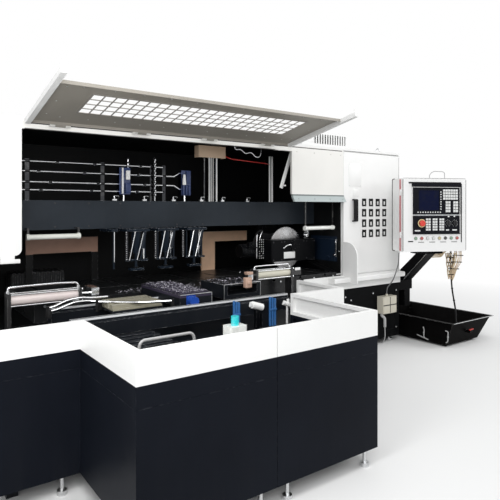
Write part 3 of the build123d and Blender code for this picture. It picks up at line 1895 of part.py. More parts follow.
key_places = (
    key_grid(screen_x0 - 28, display_z0 + 8, 10, 1, 30, 30)
    + key_grid(screen_x1 + 6, screen_z0, 1, 8, 26, 27)
    + key_grid(screen_x1 + 44, display_z0 + 160, 6, 4, 31, 30)
    + key_grid(screen_x1 + 76, display_z0 + 20, 2, 4, 31, 32)
    + key_grid(screen_x1 + 170, display_z0 + 20, 2, 4, 31, 32)
    + key_grid(display_x0 + 150, keys_z0 + 38, 2, 5, 31, 28)
    + key_grid(display_x0 + 232, keys_z0 + 38, 2, 5, 31, 28)
    + key_grid(display_x0 + 314, keys_z0 + 38, 2, 5, 31, 28)
)
with BuildPart(box_plane) as operator_panel:
    block(display_x0, display_x1, -instrument, 0, display_z0, display_z1)
    block(display_x0 + 10, display_x1 - 10, -4, 0, keys_z1, display_z0)
    block(display_x0, display_x1, -instrument, 0, keys_z0, keys_z1)
    block(
        display_x0 - bezel_side,
        display_x1 + bezel_side,
        -instrument - bezel_rise,
        0,
        display_z1,
        display_z1 + bezel_height,
    )
    block(display_x1, display_x1 + bezel_side, -instrument - bezel_rise, 0, display_z0, display_z1)
    block(
        screen_x0,
        screen_x1,
        -instrument - 1,
        -instrument + 4,
        screen_z0,
        screen_z1,
        mode=Mode.SUBTRACT,
    )
    with Locations(*key_places):
        Box(key_size, key_height, key_size)
    rod_y(
        estop_place[0],
        -instrument - 1,
        1,
        estop_place[1],
        stem_radius + button_gap,
        mode=Mode.SUBTRACT,
    )
    for place in knob_places:
        rod_y(
            place[0],
            -instrument - 1,
            1,
            place[1],
            knob_stem_radius + button_gap,
            mode=Mode.SUBTRACT,
        )
save(operator_panel.part, "operator_panel")

estop_travel = 5
with BuildPart(box_plane) as emergency_stop:
    rod_y(
        estop_place[0],
        -instrument - estop_travel - 24,
        -instrument - estop_travel - 3,
        estop_place[1],
        estop_radius,
    )
    fillet(emergency_stop.edges().group_by(Axis(box_plane.origin, box_plane.y_dir))[0], 8)
    rod_y(estop_place[0], -instrument - estop_travel - 3, 6, estop_place[1], stem_radius)
save(emergency_stop.part, "emergency_stop")

for name, place in zip(("feed_knob", "speed_knob"), knob_places):
    with BuildPart(box_plane) as knob:
        rod_y(
            place[0],
            -instrument - seat_gap - 20,
            -instrument - seat_gap,
            place[1],
            knob_radius,
        )
        fillet(knob.edges().group_by(Axis(box_plane.origin, box_plane.y_dir))[0], 3)
        block(
            place[0] - 3,
            place[0] + 3,
            -instrument - seat_gap - 26,
            -instrument - seat_gap - 18,
            place[1] - knob_radius * 0.7,
            place[1] + knob_radius * 0.7,
        )
        rod_y(place[0], -instrument - seat_gap, 4, place[1], knob_stem_radius)
    save(knob.part, name)

for number in range(1, button_count + 1):
    with BuildPart(box_plane) as push_button:
        rod_y(
            -half + button_left + (number - 1) * button_pitch,
            -button_height,
            box_wall * 2 + 2,
            button_row,
            button_radius,
        )
        fillet(push_button.edges().group_by(Axis(box_plane.origin, box_plane.y_dir))[0], 3)
    save(push_button.part, "push_button_" + str(number))

# Support arm: a stub on the base's end, a slanted box up to the control box
arm_foot = (x_base_right + arm_stub - 20, y_enclosure + 100)
stub_z0 = 590
stub_z1 = 700
arm_head = box_plane.from_local_coords(Vector(-30, box_depth / 2 + 10, 0))
head_thickness = 30
with BuildPart() as support_arm:
    block(
        x_base_right,
        arm_foot[0] + arm_width / 2,
        arm_foot[1] - arm_width / 2,
        arm_foot[1] + arm_width / 2,
        stub_z0,
        stub_z1,
    )
    block(
        arm_foot[0] - arm_drop_width / 2,
        arm_foot[0] + arm_drop_width / 2,
        arm_foot[1] - arm_width / 2,
        arm_foot[1] - arm_width / 2 + arm_drop_width,
        arm_drop_bottom,
        stub_z0,
    )
    with BuildSketch(Plane.XY.offset(stub_z1)):
        with Locations(arm_foot):
            Rectangle(arm_width * 0.9, arm_width)
    with BuildSketch(Plane.XY.offset(box_bottom - head_thickness)):
        with Locations((arm_head.X, arm_head.Y)):
            Rectangle(arm_width, arm_height)
    loft()
with BuildPart(Plane(box_plane.origin - (0, 0, head_thickness), x_dir=box_plane.x_dir, z_dir=(0, 0, 1))) as arm_plate:
    block(-180, 130, box_depth / 2 - 75, box_depth / 2 + 85, 0, head_thickness)
with BuildPart() as support_arm_whole:
    add(support_arm.part)
    add(arm_plate.part)
save(support_arm_whole.part, "support_arm")


# Cords: their points are given on the way from the first gland to the last
def corner_radii(points):
    """The largest arc for each corner of a cord's route."""
    radii = []
    for before, here, after in zip(points, points[1:], points[2:]):
        turn = radians((here - before).get_angle(after - here))
        shorter = min((here - before).length, (after - here).length)
        radii.append(0.45 * shorter * cos(turn / 2) / sin(turn / 2))
    return radii


def cord_tube(points, radius, name):
    """A plain round tube along a cord's route, printed with its tightest bend."""
    radii = corner_radii(points)
    with BuildPart() as tube:
        with BuildLine() as route:
            FilletPolyline(*points, radius=radii)
        with BuildSketch(Plane(origin=route.line @ 0, z_dir=route.line % 0)):
            Circle(radius)
        sweep(path=route.line)
    length = sum(edge.length for edge in route.line.edges())
    print(name, "length", round(length), "radii", [round(r) for r in radii])
    print(name, "volume share", round(tube.part.volume / (3.14159265 * radius**2 * length), 4))
    save(tube.part, name)


cable_start = box_plane.from_local_coords(Vector(*cable_gland, -gland_length))
cable_end = Vector(*junction_gland, junction_top + gland_length)
cable_points = [
    cable_start,
    cable_start + Vector(0, 0, -105),
    Vector(1657, 36, 855),
    Vector(1645, 66, 757),
    Vector(1640, 118, 690),
    cable_end + Vector(0, 0, 62),
    cable_end,
]
cord_tube(cable_points, cable_radius, "control_cable")

hose_start = box_plane.from_local_coords(Vector(*hose_gland, -gland_length))
hose_fitting = (tank_top_x0 + 40, tank_front + tank_rim_width / 2)
hose_end = Vector(*hose_fitting, tank_rim_height)
hose_points = [
    hose_start,
    hose_start + Vector(0, 0, -143),
    Vector(2210, -302, 780),
    Vector(2185, -330, 640),
    Vector(2140, -388, 505),
    hose_end + Vector(0, 0, 115),
    hose_end,
]
cord_tube(hose_points, hose_radius, "panel_hose")
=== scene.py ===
# %% [markdown]
# # Plate sawing machine
# A long machine hall piece: white powder-coated enclosure, dark guard in front,
# slate cross beam inside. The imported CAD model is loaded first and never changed;
# everything here gives it finishes and adds the small pieces that sit on it.

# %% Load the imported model
import math

import bmesh
import bpy
from mathutils import Matrix, Vector


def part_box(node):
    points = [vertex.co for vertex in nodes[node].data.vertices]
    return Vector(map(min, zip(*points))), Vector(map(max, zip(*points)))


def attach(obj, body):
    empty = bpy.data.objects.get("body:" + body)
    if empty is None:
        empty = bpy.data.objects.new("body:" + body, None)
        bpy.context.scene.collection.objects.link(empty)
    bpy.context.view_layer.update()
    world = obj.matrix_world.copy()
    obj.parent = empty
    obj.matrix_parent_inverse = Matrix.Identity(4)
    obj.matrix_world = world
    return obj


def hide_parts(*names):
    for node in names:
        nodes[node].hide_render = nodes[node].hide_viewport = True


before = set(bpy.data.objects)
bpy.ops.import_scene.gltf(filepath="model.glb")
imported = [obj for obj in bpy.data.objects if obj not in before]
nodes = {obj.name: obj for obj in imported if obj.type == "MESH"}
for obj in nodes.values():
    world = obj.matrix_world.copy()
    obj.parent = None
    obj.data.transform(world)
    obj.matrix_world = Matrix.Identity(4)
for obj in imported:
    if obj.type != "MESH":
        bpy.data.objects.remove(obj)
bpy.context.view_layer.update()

# %% [markdown]
# ## Camera
# The photograph is taken from the front left, level, from about standing height.
# A level camera keeps upright edges upright, so the horizon is moved up in the
# frame with a small vertical shift and not by tilting.

# %% Camera
camera_place = (-3.17, -3.78, 1.576)
camera_turn = -35.9  # degrees to the right of straight at the machine
focal_length = 37.3  # millimetres, on a sensor 36 wide


def new_object(name, data):
    """An object for a mesh, a curve, a lamp or the camera, put in the scene."""
    made = bpy.data.objects.new(name, data)
    bpy.context.scene.collection.objects.link(made)
    return made


camera_data = bpy.data.cameras.new("camera")
camera_data.sensor_width = 36
camera_data.lens = focal_length
camera_data.shift_y = -0.084
camera_data.clip_end = 200
camera = new_object("camera", camera_data)
camera.location = camera_place
camera.rotation_euler = (math.radians(90), 0, math.radians(camera_turn))
bpy.context.scene.camera = camera
print("camera at", camera_place, "turned", camera_turn, "degrees")

# %% [markdown]
# ## Helpers for meshes
# Sheet metal and castings never have razor edges. Every added piece is therefore
# built from blocks and bars with their own small bevels, gathered in one mesh
# with its place in its points, so that the object itself stays at the origin.

# %% Blocks
def start_shape():
    """An empty mesh that blocks, rods and tubes are added to."""
    return bmesh.new()


def add_block(shape, low, high, edge=0.002, turn=None, segments=2):
    """A block between two corners with rounded edges; turn is a matrix for all of it."""
    made = bmesh.ops.create_cube(shape, size=1.0)["verts"]
    size = [high[i] - low[i] for i in range(3)]
    middle = Vector([(high[i] + low[i]) / 2 for i in range(3)])
    bmesh.ops.scale(shape, vec=size, verts=made)
    bmesh.ops.translate(shape, vec=middle, verts=made)
    corners = list({e for v in made for e in v.link_edges})
    edge = min(edge, min(size) * 0.45)
    result = bmesh.ops.bevel(
        shape, geom=corners, offset=edge, segments=segments, profile=0.5, affect="EDGES"
    )
    if turn is not None:
        made = list({v for f in result["faces"] for v in f.verts})
        bmesh.ops.transform(shape, matrix=turn, verts=made)


def add_blocks(shape, corners, *more):
    """Several blocks of one kind: corners are pairs of a low and a high corner."""
    for low, high in corners:
        add_block(shape, low, high, *more)


# %% [markdown]
# Bars, rings and pipes are turned or drawn. All three are rings of points joined
# by faces, so one helper sets the rings and another joins them. A bent pipe keeps
# its cross section, because each ring is turned as little as possible from the
# one before it.

# %% Round shapes
def unit_circle(sides):
    """Even points on a circle of radius one."""
    turns = [math.tau * k / sides for k in range(sides)]
    return [(math.cos(turn), math.sin(turn)) for turn in turns]


def add_rings(shape, start, end, profile, sides):
    """Round rings of points from start to end; the profile lists (distance, radius)."""
    start = Vector(start)
    turn = (Vector(end) - start).to_track_quat("Z", "Y").to_matrix()
    circle = unit_circle(sides)
    return [
        [shape.verts.new(start + turn @ Vector((wide * x, wide * y, along))) for x, y in circle]
        for along, wide in profile
    ]


def join_rings(shape, rings, ends=True):
    """Faces from each ring to the next, and one on each end."""
    for low, high in zip(rings, rings[1:]):
        for k in range(len(low)):
            m = (k + 1) % len(low)
            shape.faces.new((low[k], low[m], high[m], high[k]))
    if ends:
        shape.faces.new(list(reversed(rings[0])))
        shape.faces.new(rings[-1])


def add_rod(shape, start, end, radius, sides=20, edge=0.0015, end_radius=None):
    """A round bar from start to end, with chamfered rims."""
    length = (Vector(end) - Vector(start)).length
    far = radius if end_radius is None else end_radius
    edge = min(edge, radius * 0.4, far * 0.4, length * 0.4)
    profile = ((0, radius - edge), (edge, radius), (length - edge, far), (length, far - edge))
    join_rings(shape, add_rings(shape, start, end, profile, sides))


def add_ring(shape, start, end, outer, inner, sides=24):
    """A flat-ended ring from start to end with a round hole."""
    length = (Vector(end) - Vector(start)).length
    profile = ((0, outer), (length, outer), (length, inner), (0, inner))
    rings = add_rings(shape, start, end, profile, sides)
    join_rings(shape, rings + rings[:1], ends=False)


def add_tube(shape, run, radius, sides=12):
    """A closed tube along a run of points, its rings turned as little as possible."""
    run = [Vector(point) for point in run]
    ahead = [(b - a).normalized() for a, b in zip(run, run[1:])]
    turning = [(a + b).normalized() for a, b in zip(ahead, ahead[1:])]
    side = ahead[0].orthogonal().normalized()
    circle = unit_circle(sides)
    rings = []
    for point, aim in zip(run, [ahead[0], *turning, ahead[-1]]):
        side = (side - aim * side.dot(aim)).normalized()
        up = aim.cross(side)
        rings.append([shape.verts.new(point + radius * (side * x + up * y)) for x, y in circle])
    join_rings(shape, rings)


def add_pipe(shape, points, radius, reach=0.04, sides=12):
    """A bent pipe: each corner of its points gives way to a short even curve."""
    points = [Vector(point) for point in points]
    run = [points[0]]
    for before, here, after in zip(points, points[1:], points[2:]):
        step = min(reach, (here - before).length * 0.45, (after - here).length * 0.45)
        first = here + (before - here).normalized() * step
        last = here + (after - here).normalized() * step
        for t in (0, 0.2, 0.4, 0.6, 0.8, 1):
            run.append(first * (1 - t) ** 2 + here * 2 * t * (1 - t) + last * t**2)
    add_tube(shape, [*run, points[-1]], radius, sides)


# %% [markdown]
# A finished piece is told which body of the machine it rides on, so that it moves
# with that body, and which material slot it belongs to. Edges sharper than 35
# degrees stay sharp, and the rest is shaded smooth.

# %% Pieces on their bodies
def set_on_body(piece, body):
    """The last step of every piece: shading that keeps its sharp edges, and its body."""
    sharp_from = math.radians(35)
    for face in piece.data.polygons:
        face.use_smooth = True
    mesh = bmesh.new()
    mesh.from_mesh(piece.data)
    for edge in mesh.edges:
        edge.smooth = len(edge.link_faces) == 2 and edge.calc_face_angle(0) < sharp_from
    mesh.to_mesh(piece.data)
    mesh.free()
    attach(piece, body)
    print(piece.name, "faces:", len(piece.data.polygons))
    return piece


def finish_shape(shape, name, material, body="machine"):
    """Turns a gathered shape into a piece with its faces outwards."""
    bmesh.ops.recalc_face_normals(shape, faces=shape.faces)
    data = bpy.data.meshes.new(name.replace(" ", "_"))
    shape.to_mesh(data)
    shape.free()
    data.materials.append(material)
    return set_on_body(new_object(data.name, data), body)


def block_piece(name, material, corners, edge=0.002, body="machine", turn=None, segments=2):
    """A piece that is nothing but blocks of one kind."""
    shape = start_shape()
    add_blocks(shape, corners, edge, turn, segments)
    return finish_shape(shape, name, material, body)


def tube_piece(name, material, runs, radius, sides=12, body="machine", reach=None):
    """A piece that is nothing but tubes of one width; with a reach, their corners bend."""
    shape = start_shape()
    for run in runs:
        if reach is None:
            add_tube(shape, run, radius, sides)
        else:
            add_pipe(shape, run, radius, reach, sides)
    return finish_shape(shape, name, material, body)


# %% [markdown]
# ## Shared effects as node groups
# A coat of paint on a shop machine is never one flat colour: it has a fine
# orange-peel texture, faint patches, rubbed edges and dust that settles low down.
# These are built once as groups with named inputs and placed in each finish with
# its own values. The shader itself stays in the material. One helper places a
# node and fills its inputs, with a plain value or with a link from another node.

# %% Node helpers
def feed(tree, socket, value):
    """Gives a socket a value or a link; a node stands for its first output."""
    if isinstance(value, bpy.types.Node):
        value = value.outputs[0]
    if isinstance(value, bpy.types.NodeSocket):
        tree.links.new(value, socket)
    else:
        socket.default_value = value


def place(tree, kind, **values):
    """A node in the next free place, with its properties and its in_NAME or in_0 inputs."""
    row, column = divmod(len(tree.nodes), 8)
    node = tree.nodes.new(kind)
    node.location = (220 * column, -340 * row)
    for key, value in values.items():
        if not key.startswith("in_"):
            setattr(node, key, value)
    for key, value in values.items():
        if key.startswith("in_"):
            label = key[3:].replace("_", " ")
            feed(tree, node.inputs[int(label) if label.isdigit() else label], value)
    return node


def end_group(tree, **values):
    """Fills the outputs of a group and says what was made."""
    place(tree, "NodeGroupOutput", **values)
    print("group:", tree.name, "nodes:", len(tree.nodes))


def new_group(name, inputs, outputs, kind="ShaderNodeTree"):
    """An empty node group with named sockets: inputs are (name, type, default)."""
    group = bpy.data.node_groups.new(name, kind)
    sockets = [(*item, "INPUT") for item in inputs] + [(*item, None, "OUTPUT") for item in outputs]
    for label, sort, value, side in sockets:
        socket = group.interface.new_socket(
            name=label, in_out=side, socket_type="NodeSocket" + sort
        )
        if value is not None:
            socket.default_value = value
    return group


def maths(tree, operation, first, second, clamp=False):
    """The result of a Math node; first and second are sockets or numbers."""
    node = place(
        tree, "ShaderNodeMath", operation=operation, use_clamp=clamp, in_0=first, in_1=second
    )
    return node.outputs[0]


def vectors(tree, operation, first, **inputs):
    return place(tree, "ShaderNodeVectorMath", operation=operation, in_0=first, **inputs)


def span(tree, value, low, high, to_low=0.0, to_high=1.0):
    """A clamped Map Range from low..high to to_low..to_high."""
    ends = {"in_From_Min": low, "in_From_Max": high, "in_To_Min": to_low, "in_To_Max": to_high}
    return place(tree, "ShaderNodeMapRange", in_Value=value, **ends).outputs["Result"]


def mix(tree, factor, first, second):
    """A mix of two colours, each a socket or a value."""
    node = place(tree, "ShaderNodeMix", data_type="RGBA", in_0=factor, in_6=first, in_7=second)
    return node.outputs[2]


def noise(tree, where, scale, detail, roughness=0.5):
    """The value of a Noise Texture."""
    sizes = {"in_Scale": scale, "in_Detail": detail, "in_Roughness": roughness}
    return place(tree, "ShaderNodeTexNoise", in_Vector=where, **sizes).outputs["Fac"]


def object_place(tree):
    """Object coordinates, which move with the piece."""
    return place(tree, "ShaderNodeTexCoord").outputs["Object"]


surface_outputs = [("Colour", "Color"), ("Roughness", "Float"), ("Height", "Float")]

# %% [markdown]
# Powder coat and enamel chip first along edges. A Bevel node gives a rounded
# normal, and where it departs from the flat one there is an edge to rub bare.
# Dust is mixed in by height and by long upright streaks.

# %% Worn paint group
paint_wear = new_group(
    "worn paint",
    [
        ("Paint", "Color", (0.8, 0.8, 0.8, 1)),
        ("Bare", "Color", (0.3, 0.3, 0.3, 1)),
        ("Dust", "Color", (0.5, 0.48, 0.44, 1)),
        ("Roughness", "Float", 0.4),
        ("Patch", "Float", 0.06),
        ("Edge", "Float", 0.4),
        ("Grime", "Float", 0.2),
        ("Peel Scale", "Float", 300.0),
    ],
    surface_outputs,
)


def fill_paint_wear(tree):
    """Patches, streaks, rubbed edges, dust near the floor and orange peel."""
    given = place(tree, "NodeGroupInput").outputs
    where = object_place(tree)
    cloud = noise(tree, where, 1.7, 5.0, 0.6)
    stretched = place(tree, "ShaderNodeMapping", in_Vector=where, in_Scale=(14, 14, 0.9))
    streaks = noise(tree, stretched, 1.0, 4.0, 0.65)
    chips = noise(tree, where, 46.0, 4.0, 0.7)
    peel = noise(tree, where, given["Peel Scale"], 2.0)
    # patches lighten and darken the coat a little
    patch = maths(tree, "MULTIPLY", span(tree, cloud, 0.3, 0.7, -0.5, 0.5), given["Patch"])
    toned = vectors(tree, "SCALE", given["Paint"], in_Scale=maths(tree, "ADD", patch, 1.0))
    # dust gathers low down, broken up by the streaks
    height = place(tree, "ShaderNodeSeparateXYZ", in_0=where).outputs["Z"]
    low = maths(tree, "POWER", span(tree, height, 0.0, 0.55, 1.0, 0.0), 2.2)
    runs = span(tree, streaks, 0.42, 0.78)
    streaked = maths(tree, "MULTIPLY", runs, 0.22)
    dust = maths(tree, "ADD", maths(tree, "MULTIPLY", low, runs), streaked)
    dust = maths(tree, "MULTIPLY", dust, given["Grime"], clamp=True)
    dusty = mix(tree, dust, toned, given["Dust"])
    # edges are rubbed where a rounded normal departs from the flat one
    rounded = place(tree, "ShaderNodeBevel", samples=4, in_Radius=0.0035)
    flat = place(tree, "ShaderNodeNewGeometry").outputs["Normal"]
    corner = vectors(tree, "DOT_PRODUCT", rounded, in_1=flat).outputs["Value"]
    flakes = span(tree, chips, 0.47, 0.62)
    rub = maths(tree, "MULTIPLY", span(tree, corner, 0.97, 0.82), flakes)
    rub = maths(tree, "MULTIPLY", rub, given["Edge"], clamp=True)
    rough = maths(tree, "ADD", given["Roughness"], maths(tree, "MULTIPLY", dust, 0.35))
    fine = span(tree, cloud, 0.3, 0.7, -0.05, 0.05)
    end_group(
        tree,
        in_Colour=mix(tree, rub, dusty, given["Bare"]),
        in_Roughness=maths(tree, "ADD", rough, fine, clamp=True),
        in_Height=maths(tree, "SUBTRACT", peel, maths(tree, "MULTIPLY", rub, 1.5)),
    )


fill_paint_wear(paint_wear)

# %% [markdown]
# Grinding and drawing leave fine lines in one direction. Object coordinates are
# stretched by the Grain vector before they reach the noise, so the same group
# gives a rod its long lines and a screw its plain dull surface.

# %% Drawn and ground metal group
metal_grain = new_group(
    "metal grain",
    [
        ("Metal", "Color", (0.6, 0.6, 0.6, 1)),
        ("Stain", "Color", (0.3, 0.28, 0.25, 1)),
        ("Roughness", "Float", 0.3),
        ("Grain", "Vector", (4.0, 400.0, 400.0)),
        ("Staining", "Float", 0.3),
    ],
    surface_outputs,
)


def fill_metal_grain(tree):
    """Fine lines left by grinding or drawing, with oil-dark stains."""
    given = place(tree, "NodeGroupInput").outputs
    where = object_place(tree)
    lines = noise(tree, vectors(tree, "MULTIPLY", where, in_1=given["Grain"]), 1.0, 3.0)
    stain = span(tree, noise(tree, where, 7.0, 5.0, 0.65), 0.48, 0.72)
    stain = maths(tree, "MULTIPLY", stain, given["Staining"], clamp=True)
    shade = span(tree, lines, 0.3, 0.7, 0.9, 1.08)
    toned = vectors(tree, "SCALE", given["Metal"], in_Scale=shade)
    rough = maths(tree, "ADD", given["Roughness"], maths(tree, "MULTIPLY", stain, 0.4))
    fine = span(tree, lines, 0.3, 0.7, -0.06, 0.06)
    end_group(
        tree,
        in_Colour=mix(tree, stain, toned, given["Stain"]),
        in_Roughness=maths(tree, "ADD", rough, fine, clamp=True),
        in_Height=lines,
    )


fill_metal_grain(metal_grain)

# %% [markdown]
# A moulded part carries the fine stipple of its mould. Where hands and sleeves
# touch it, it turns paler and a little smoother, in soft patches.

# %% Moulded surface group
moulded = new_group(
    "moulded surface",
    [
        ("Base", "Color", (0.1, 0.1, 0.1, 1)),
        ("Handled", "Color", (0.2, 0.2, 0.2, 1)),
        ("Roughness", "Float", 0.5),
        ("Stipple Scale", "Float", 900.0),
        ("Handling", "Float", 0.3),
    ],
    surface_outputs,
)


def fill_moulded(tree):
    """The stipple of a mould, with places that hands and dust have greyed."""
    given = place(tree, "NodeGroupInput").outputs
    where = object_place(tree)
    touched = span(tree, noise(tree, where, 22.0, 4.0), 0.45, 0.7)
    touched = maths(tree, "MULTIPLY", touched, given["Handling"], clamp=True)
    smoother = maths(tree, "MULTIPLY", touched, -0.3)
    end_group(
        tree,
        in_Colour=mix(tree, touched, given["Base"], given["Handled"]),
        in_Roughness=maths(tree, "ADD", given["Roughness"], smoother, clamp=True),
        in_Height=noise(tree, where, given["Stipple Scale"], 1.0),
    )


fill_moulded(moulded)

# %% [markdown]
# ## Finishes
# One casting or sheet can carry two coats, such as a shell that is white outside
# and dark inside. A zone is a block in the object's own coordinates where another
# colour takes the place of the main one. A finish for the control box turns the
# coordinates first, because the box stands at an angle.

# %% Zone group
zone_mask = new_group(
    "zone mask",
    [
        ("Place", "Vector", (0, 0, 0)),
        ("Low", "Vector", (0, 0, 0)),
        ("High", "Vector", (1, 1, 1)),
    ],
    [("Mask", "Float")],
)


def fill_zone_mask(tree):
    """One inside the block from Low to High, nought outside it."""
    given = place(tree, "NodeGroupInput").outputs
    over = vectors(tree, "SUBTRACT", given["Place"], in_1=given["Low"])
    under = vectors(tree, "SUBTRACT", given["High"], in_1=given["Place"])
    nearest = vectors(tree, "MINIMUM", over, in_1=under)
    parts = place(tree, "ShaderNodeSeparateXYZ", in_0=nearest).outputs
    least = maths(tree, "MINIMUM", parts["X"], parts["Y"])
    least = maths(tree, "MINIMUM", least, parts["Z"])
    end_group(tree, in_Mask=maths(tree, "GREATER_THAN", least, 0.0))


fill_zone_mask(zone_mask)

# %% [markdown]
# Each finish is one Principled shader fed by a group. Values that are the same all
# over, such as how metallic a surface is or its clear coat, are set on the
# shader's own sockets.

# %% Finish maker
peel_scale = 300.0
dust_colour = (0.46, 0.44, 0.4)
coat_roughness = 0.12
bump_strength = 0.05
bump_distance = 0.0004


def zoned_colour(tree, colour, zones, frame_at, frame_turn):
    """A colour that changes inside blocks: zones are (low, high, colour)."""
    where = object_place(tree)
    if frame_at is not None:
        turned = {"in_Location": frame_at, "in_Rotation": (0, 0, frame_turn)}
        where = place(
            tree, "ShaderNodeMapping", vector_type="TEXTURE", in_Vector=where, **turned
        )
    so_far = (*colour, 1)
    for low, high, other in zones:
        block = {"in_Place": where, "in_Low": low, "in_High": high}
        mask = place(tree, "ShaderNodeGroup", node_tree=zone_mask, **block)
        so_far = mix(tree, mask, so_far, (*other, 1))
    return so_far


def make_finish(
    name, group, colours, values, zones=(), frame_at=None, frame_turn=0.0,
    metallic=0.0, coat=0.0, specular=0.5,
):
    """A material with one group that feeds colour, roughness and bump."""
    material = bpy.data.materials.new(name)
    material.use_nodes = True
    tree = material.node_tree
    shader = tree.nodes["Principled BSDF"].inputs
    shader["Metallic"].default_value = metallic
    shader["Coat Weight"].default_value = coat
    shader["Coat Roughness"].default_value = coat_roughness
    shader["Specular IOR Level"].default_value = specular
    effect = place(tree, "ShaderNodeGroup", node_tree=group)
    for label, value in values.items():
        effect.inputs[label].default_value = value
    for label, value in colours.items():
        effect.inputs[label].default_value = (*value, 1)
    if zones:
        main = next(iter(colours))
        coloured = zoned_colour(tree, colours[main], zones, frame_at, frame_turn)
        tree.links.new(coloured, effect.inputs[main])
    tree.links.new(effect.outputs["Colour"], shader["Base Color"])
    tree.links.new(effect.outputs["Roughness"], shader["Roughness"])
    relief = {"in_Strength": bump_strength, "in_Distance": bump_distance}
    bump = place(tree, "ShaderNodeBump", in_Height=effect.outputs["Height"], **relief)
    tree.links.new(bump.outputs["Normal"], shader["Normal"])
    print("finish:", name)
    return material


def paint(name, colour, bare, roughness=0.38, patch=0.06, edge=0.5, grime=0.25, **more):
    colours = {"Paint": colour, "Bare": bare, "Dust": dust_colour}
    values = {"Roughness": roughness, "Patch": patch, "Edge": edge, "Grime": grime}
    values["Peel Scale"] = peel_scale
    return make_finish(name, paint_wear, colours, values, **more)


def metal(name, colour, stain, roughness, grain=(4.0, 400.0, 400.0), staining=0.3, **more):
    colours = {"Metal": colour, "Stain": stain}
    values = {"Roughness": roughness, "Grain": grain, "Staining": staining}
    return make_finish(name, metal_grain, colours, values, metallic=1.0, **more)


def plastic(name, colour, handled, roughness, stipple=900.0, handling=0.3, **more):
    colours = {"Base": colour, "Handled": handled}
    values = {"Roughness": roughness, "Stipple Scale": stipple, "Handling": handling}
    return make_finish(name, moulded, colours, values, **more)


# %% [markdown]
# The outside is white powder coat. The sheets are white inside as well, but the sawing room gets
# little light, so its shade is painted on the shell there as near black.
# Seams, the service door and the louvres on the back are thin dark zones.

# %% White coats
# painted shade of the dim sawing room, on sheets that are white
painted_room_shade = (0.003, 0.0032, 0.0036)
# painted bluish shade on the white side sheet by the saw, where it catches a little light
navy = (0.0058, 0.0125, 0.026)
white = (0.8, 0.8, 0.79)
primer_grey = (0.42, 0.42, 0.41)
seam_grey = (0.06, 0.06, 0.06)
# painted shadow for the gaps near the header's top
gap_shadow_black = (0.02, 0.02, 0.02)
slot_black = (0.015, 0.015, 0.015)
painted_room_shade_zone = ((-2.3165, 0.24, 0.7), (0.9705, 1.6255, 2.2065), painted_room_shade)


def behind(x_low, x_high, z_low, z_high, colour=seam_grey):
    """A zone on the back wall."""
    return (x_low, 1.64, z_low), (x_high, 1.66, z_high), colour


seam_x = (-2.315, -1.255, -0.195, 0.865)
seams_behind = [behind(x - 0.0025, x + 0.0025, 0.735, 2.226) for x in seam_x]
service_door = [
    behind(-1.1, -0.35, 1.05, 1.054),
    behind(-1.1, -0.35, 1.946, 1.95),
    behind(-1.1, -1.096, 1.05, 1.95),
    behind(-0.354, -0.35, 1.05, 1.95),
]
rear_louvres = [behind(1.1, 1.62, 1.2 + 0.04 * k, 1.21 + 0.04 * k, slot_black) for k in range(8)]
white_coat = paint("white powder coat", white, (0.5, 0.5, 0.49), 0.42, 0.035, 0.35, 0.1)
shell_coat = paint(
    "white shell coat, painted shade inside", white, primer_grey, 0.5, 0.035, 0.2, 0.012,
    specular=0.15,
    zones=[painted_room_shade_zone, *seams_behind, *service_door, *rear_louvres],
)
# The cabinet's sheets carry the room's painted shade, and the side sheet by the saw a painted
# bluish shade.
cabinet_coat = paint(
    "white cabinet coat, painted shade inside", white, primer_grey, 0.46, 0.035, 0.2, 0.02,
    specular=0.2,
    zones=[painted_room_shade_zone, ((0.86, 0.295, 0.985), (0.9705, 0.76, 1.26), navy)],
)
box_coat = paint(
    "white control box coat", (0.79, 0.79, 0.785), (0.5, 0.5, 0.49), 0.36, 0.025, 0.2, 0.06
)
header_low, header_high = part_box("front_header")
shadow_line_left, shadow_line_right, header_top = header_low[0] + 0.02, header_high[0] - 0.02, header_high[2]
header_coat = paint(
    "warm white header coat", (0.74, 0.73, 0.7), (0.36, 0.35, 0.32), 0.45, 0.06, 0.5, 0.08,
    # Painted shade: a grey band with a dark line along the header's lower strip under the flap.
    # Painted shadow: two black lines in the gaps near its top.
    zones=[
        ((0.02, 0.1, 1.6), (0.98, 0.3, 1.7), (0.36, 0.41, 0.41)),
        ((0.02, 0.1, 1.7), (0.98, 0.3, 1.716), (0.12, 0.14, 0.14)),
        ((shadow_line_left, 0, header_top - 0.016), (shadow_line_right, 0.3, header_top - 0.007), gap_shadow_black),
        ((shadow_line_left, 0, header_top - 0.058), (0.02, 0.3, header_top - 0.05), gap_shadow_black),
    ],
)

# %% [markdown]
# The base, the guard, the arm and the tank are near black and satin. Under bright
# light such a coat turns grey by its gloss alone, so its specular level is low.
# The beam is slate blue, and the flap is taupe with two white arms.

# %% Dark coats
base_coat = paint(
    "black base coat", (0.0032, 0.0035, 0.0038), (0.13, 0.13, 0.13), 0.5, 0.3, 0.4, 0.008,
    specular=0.04,
)
guard_coat = paint(
    "near black guard coat", (0.0058, 0.0072, 0.0112), (0.09, 0.095, 0.11), 0.42, 0.3, 0.45,
    0.008, specular=0.05,
)
beam_coat = paint(
    "slate blue beam coat", (0.023, 0.029, 0.037), (0.2, 0.22, 0.24), 0.34, 0.45, 0.6,
    0.02, specular=0.14,
)
machinery_coat = paint(
    "dark machinery coat", (0.0026, 0.0029, 0.0038), (0.34, 0.34, 0.35), 0.4, 0.3, 0.8,
    0.004, specular=0.07,
)
tank_coat = paint(
    "black tank coat", (0.0024, 0.0022, 0.0022), (0.5, 0.5, 0.49), 0.5, 0.3, 0.8, 0.004,
    specular=0.03,
)
arm_coat = paint(
    "black arm coat", (0.0024, 0.0024, 0.0027), (0.28, 0.28, 0.28), 0.46, 0.25, 0.6, 0.004,
    specular=0.04,
)
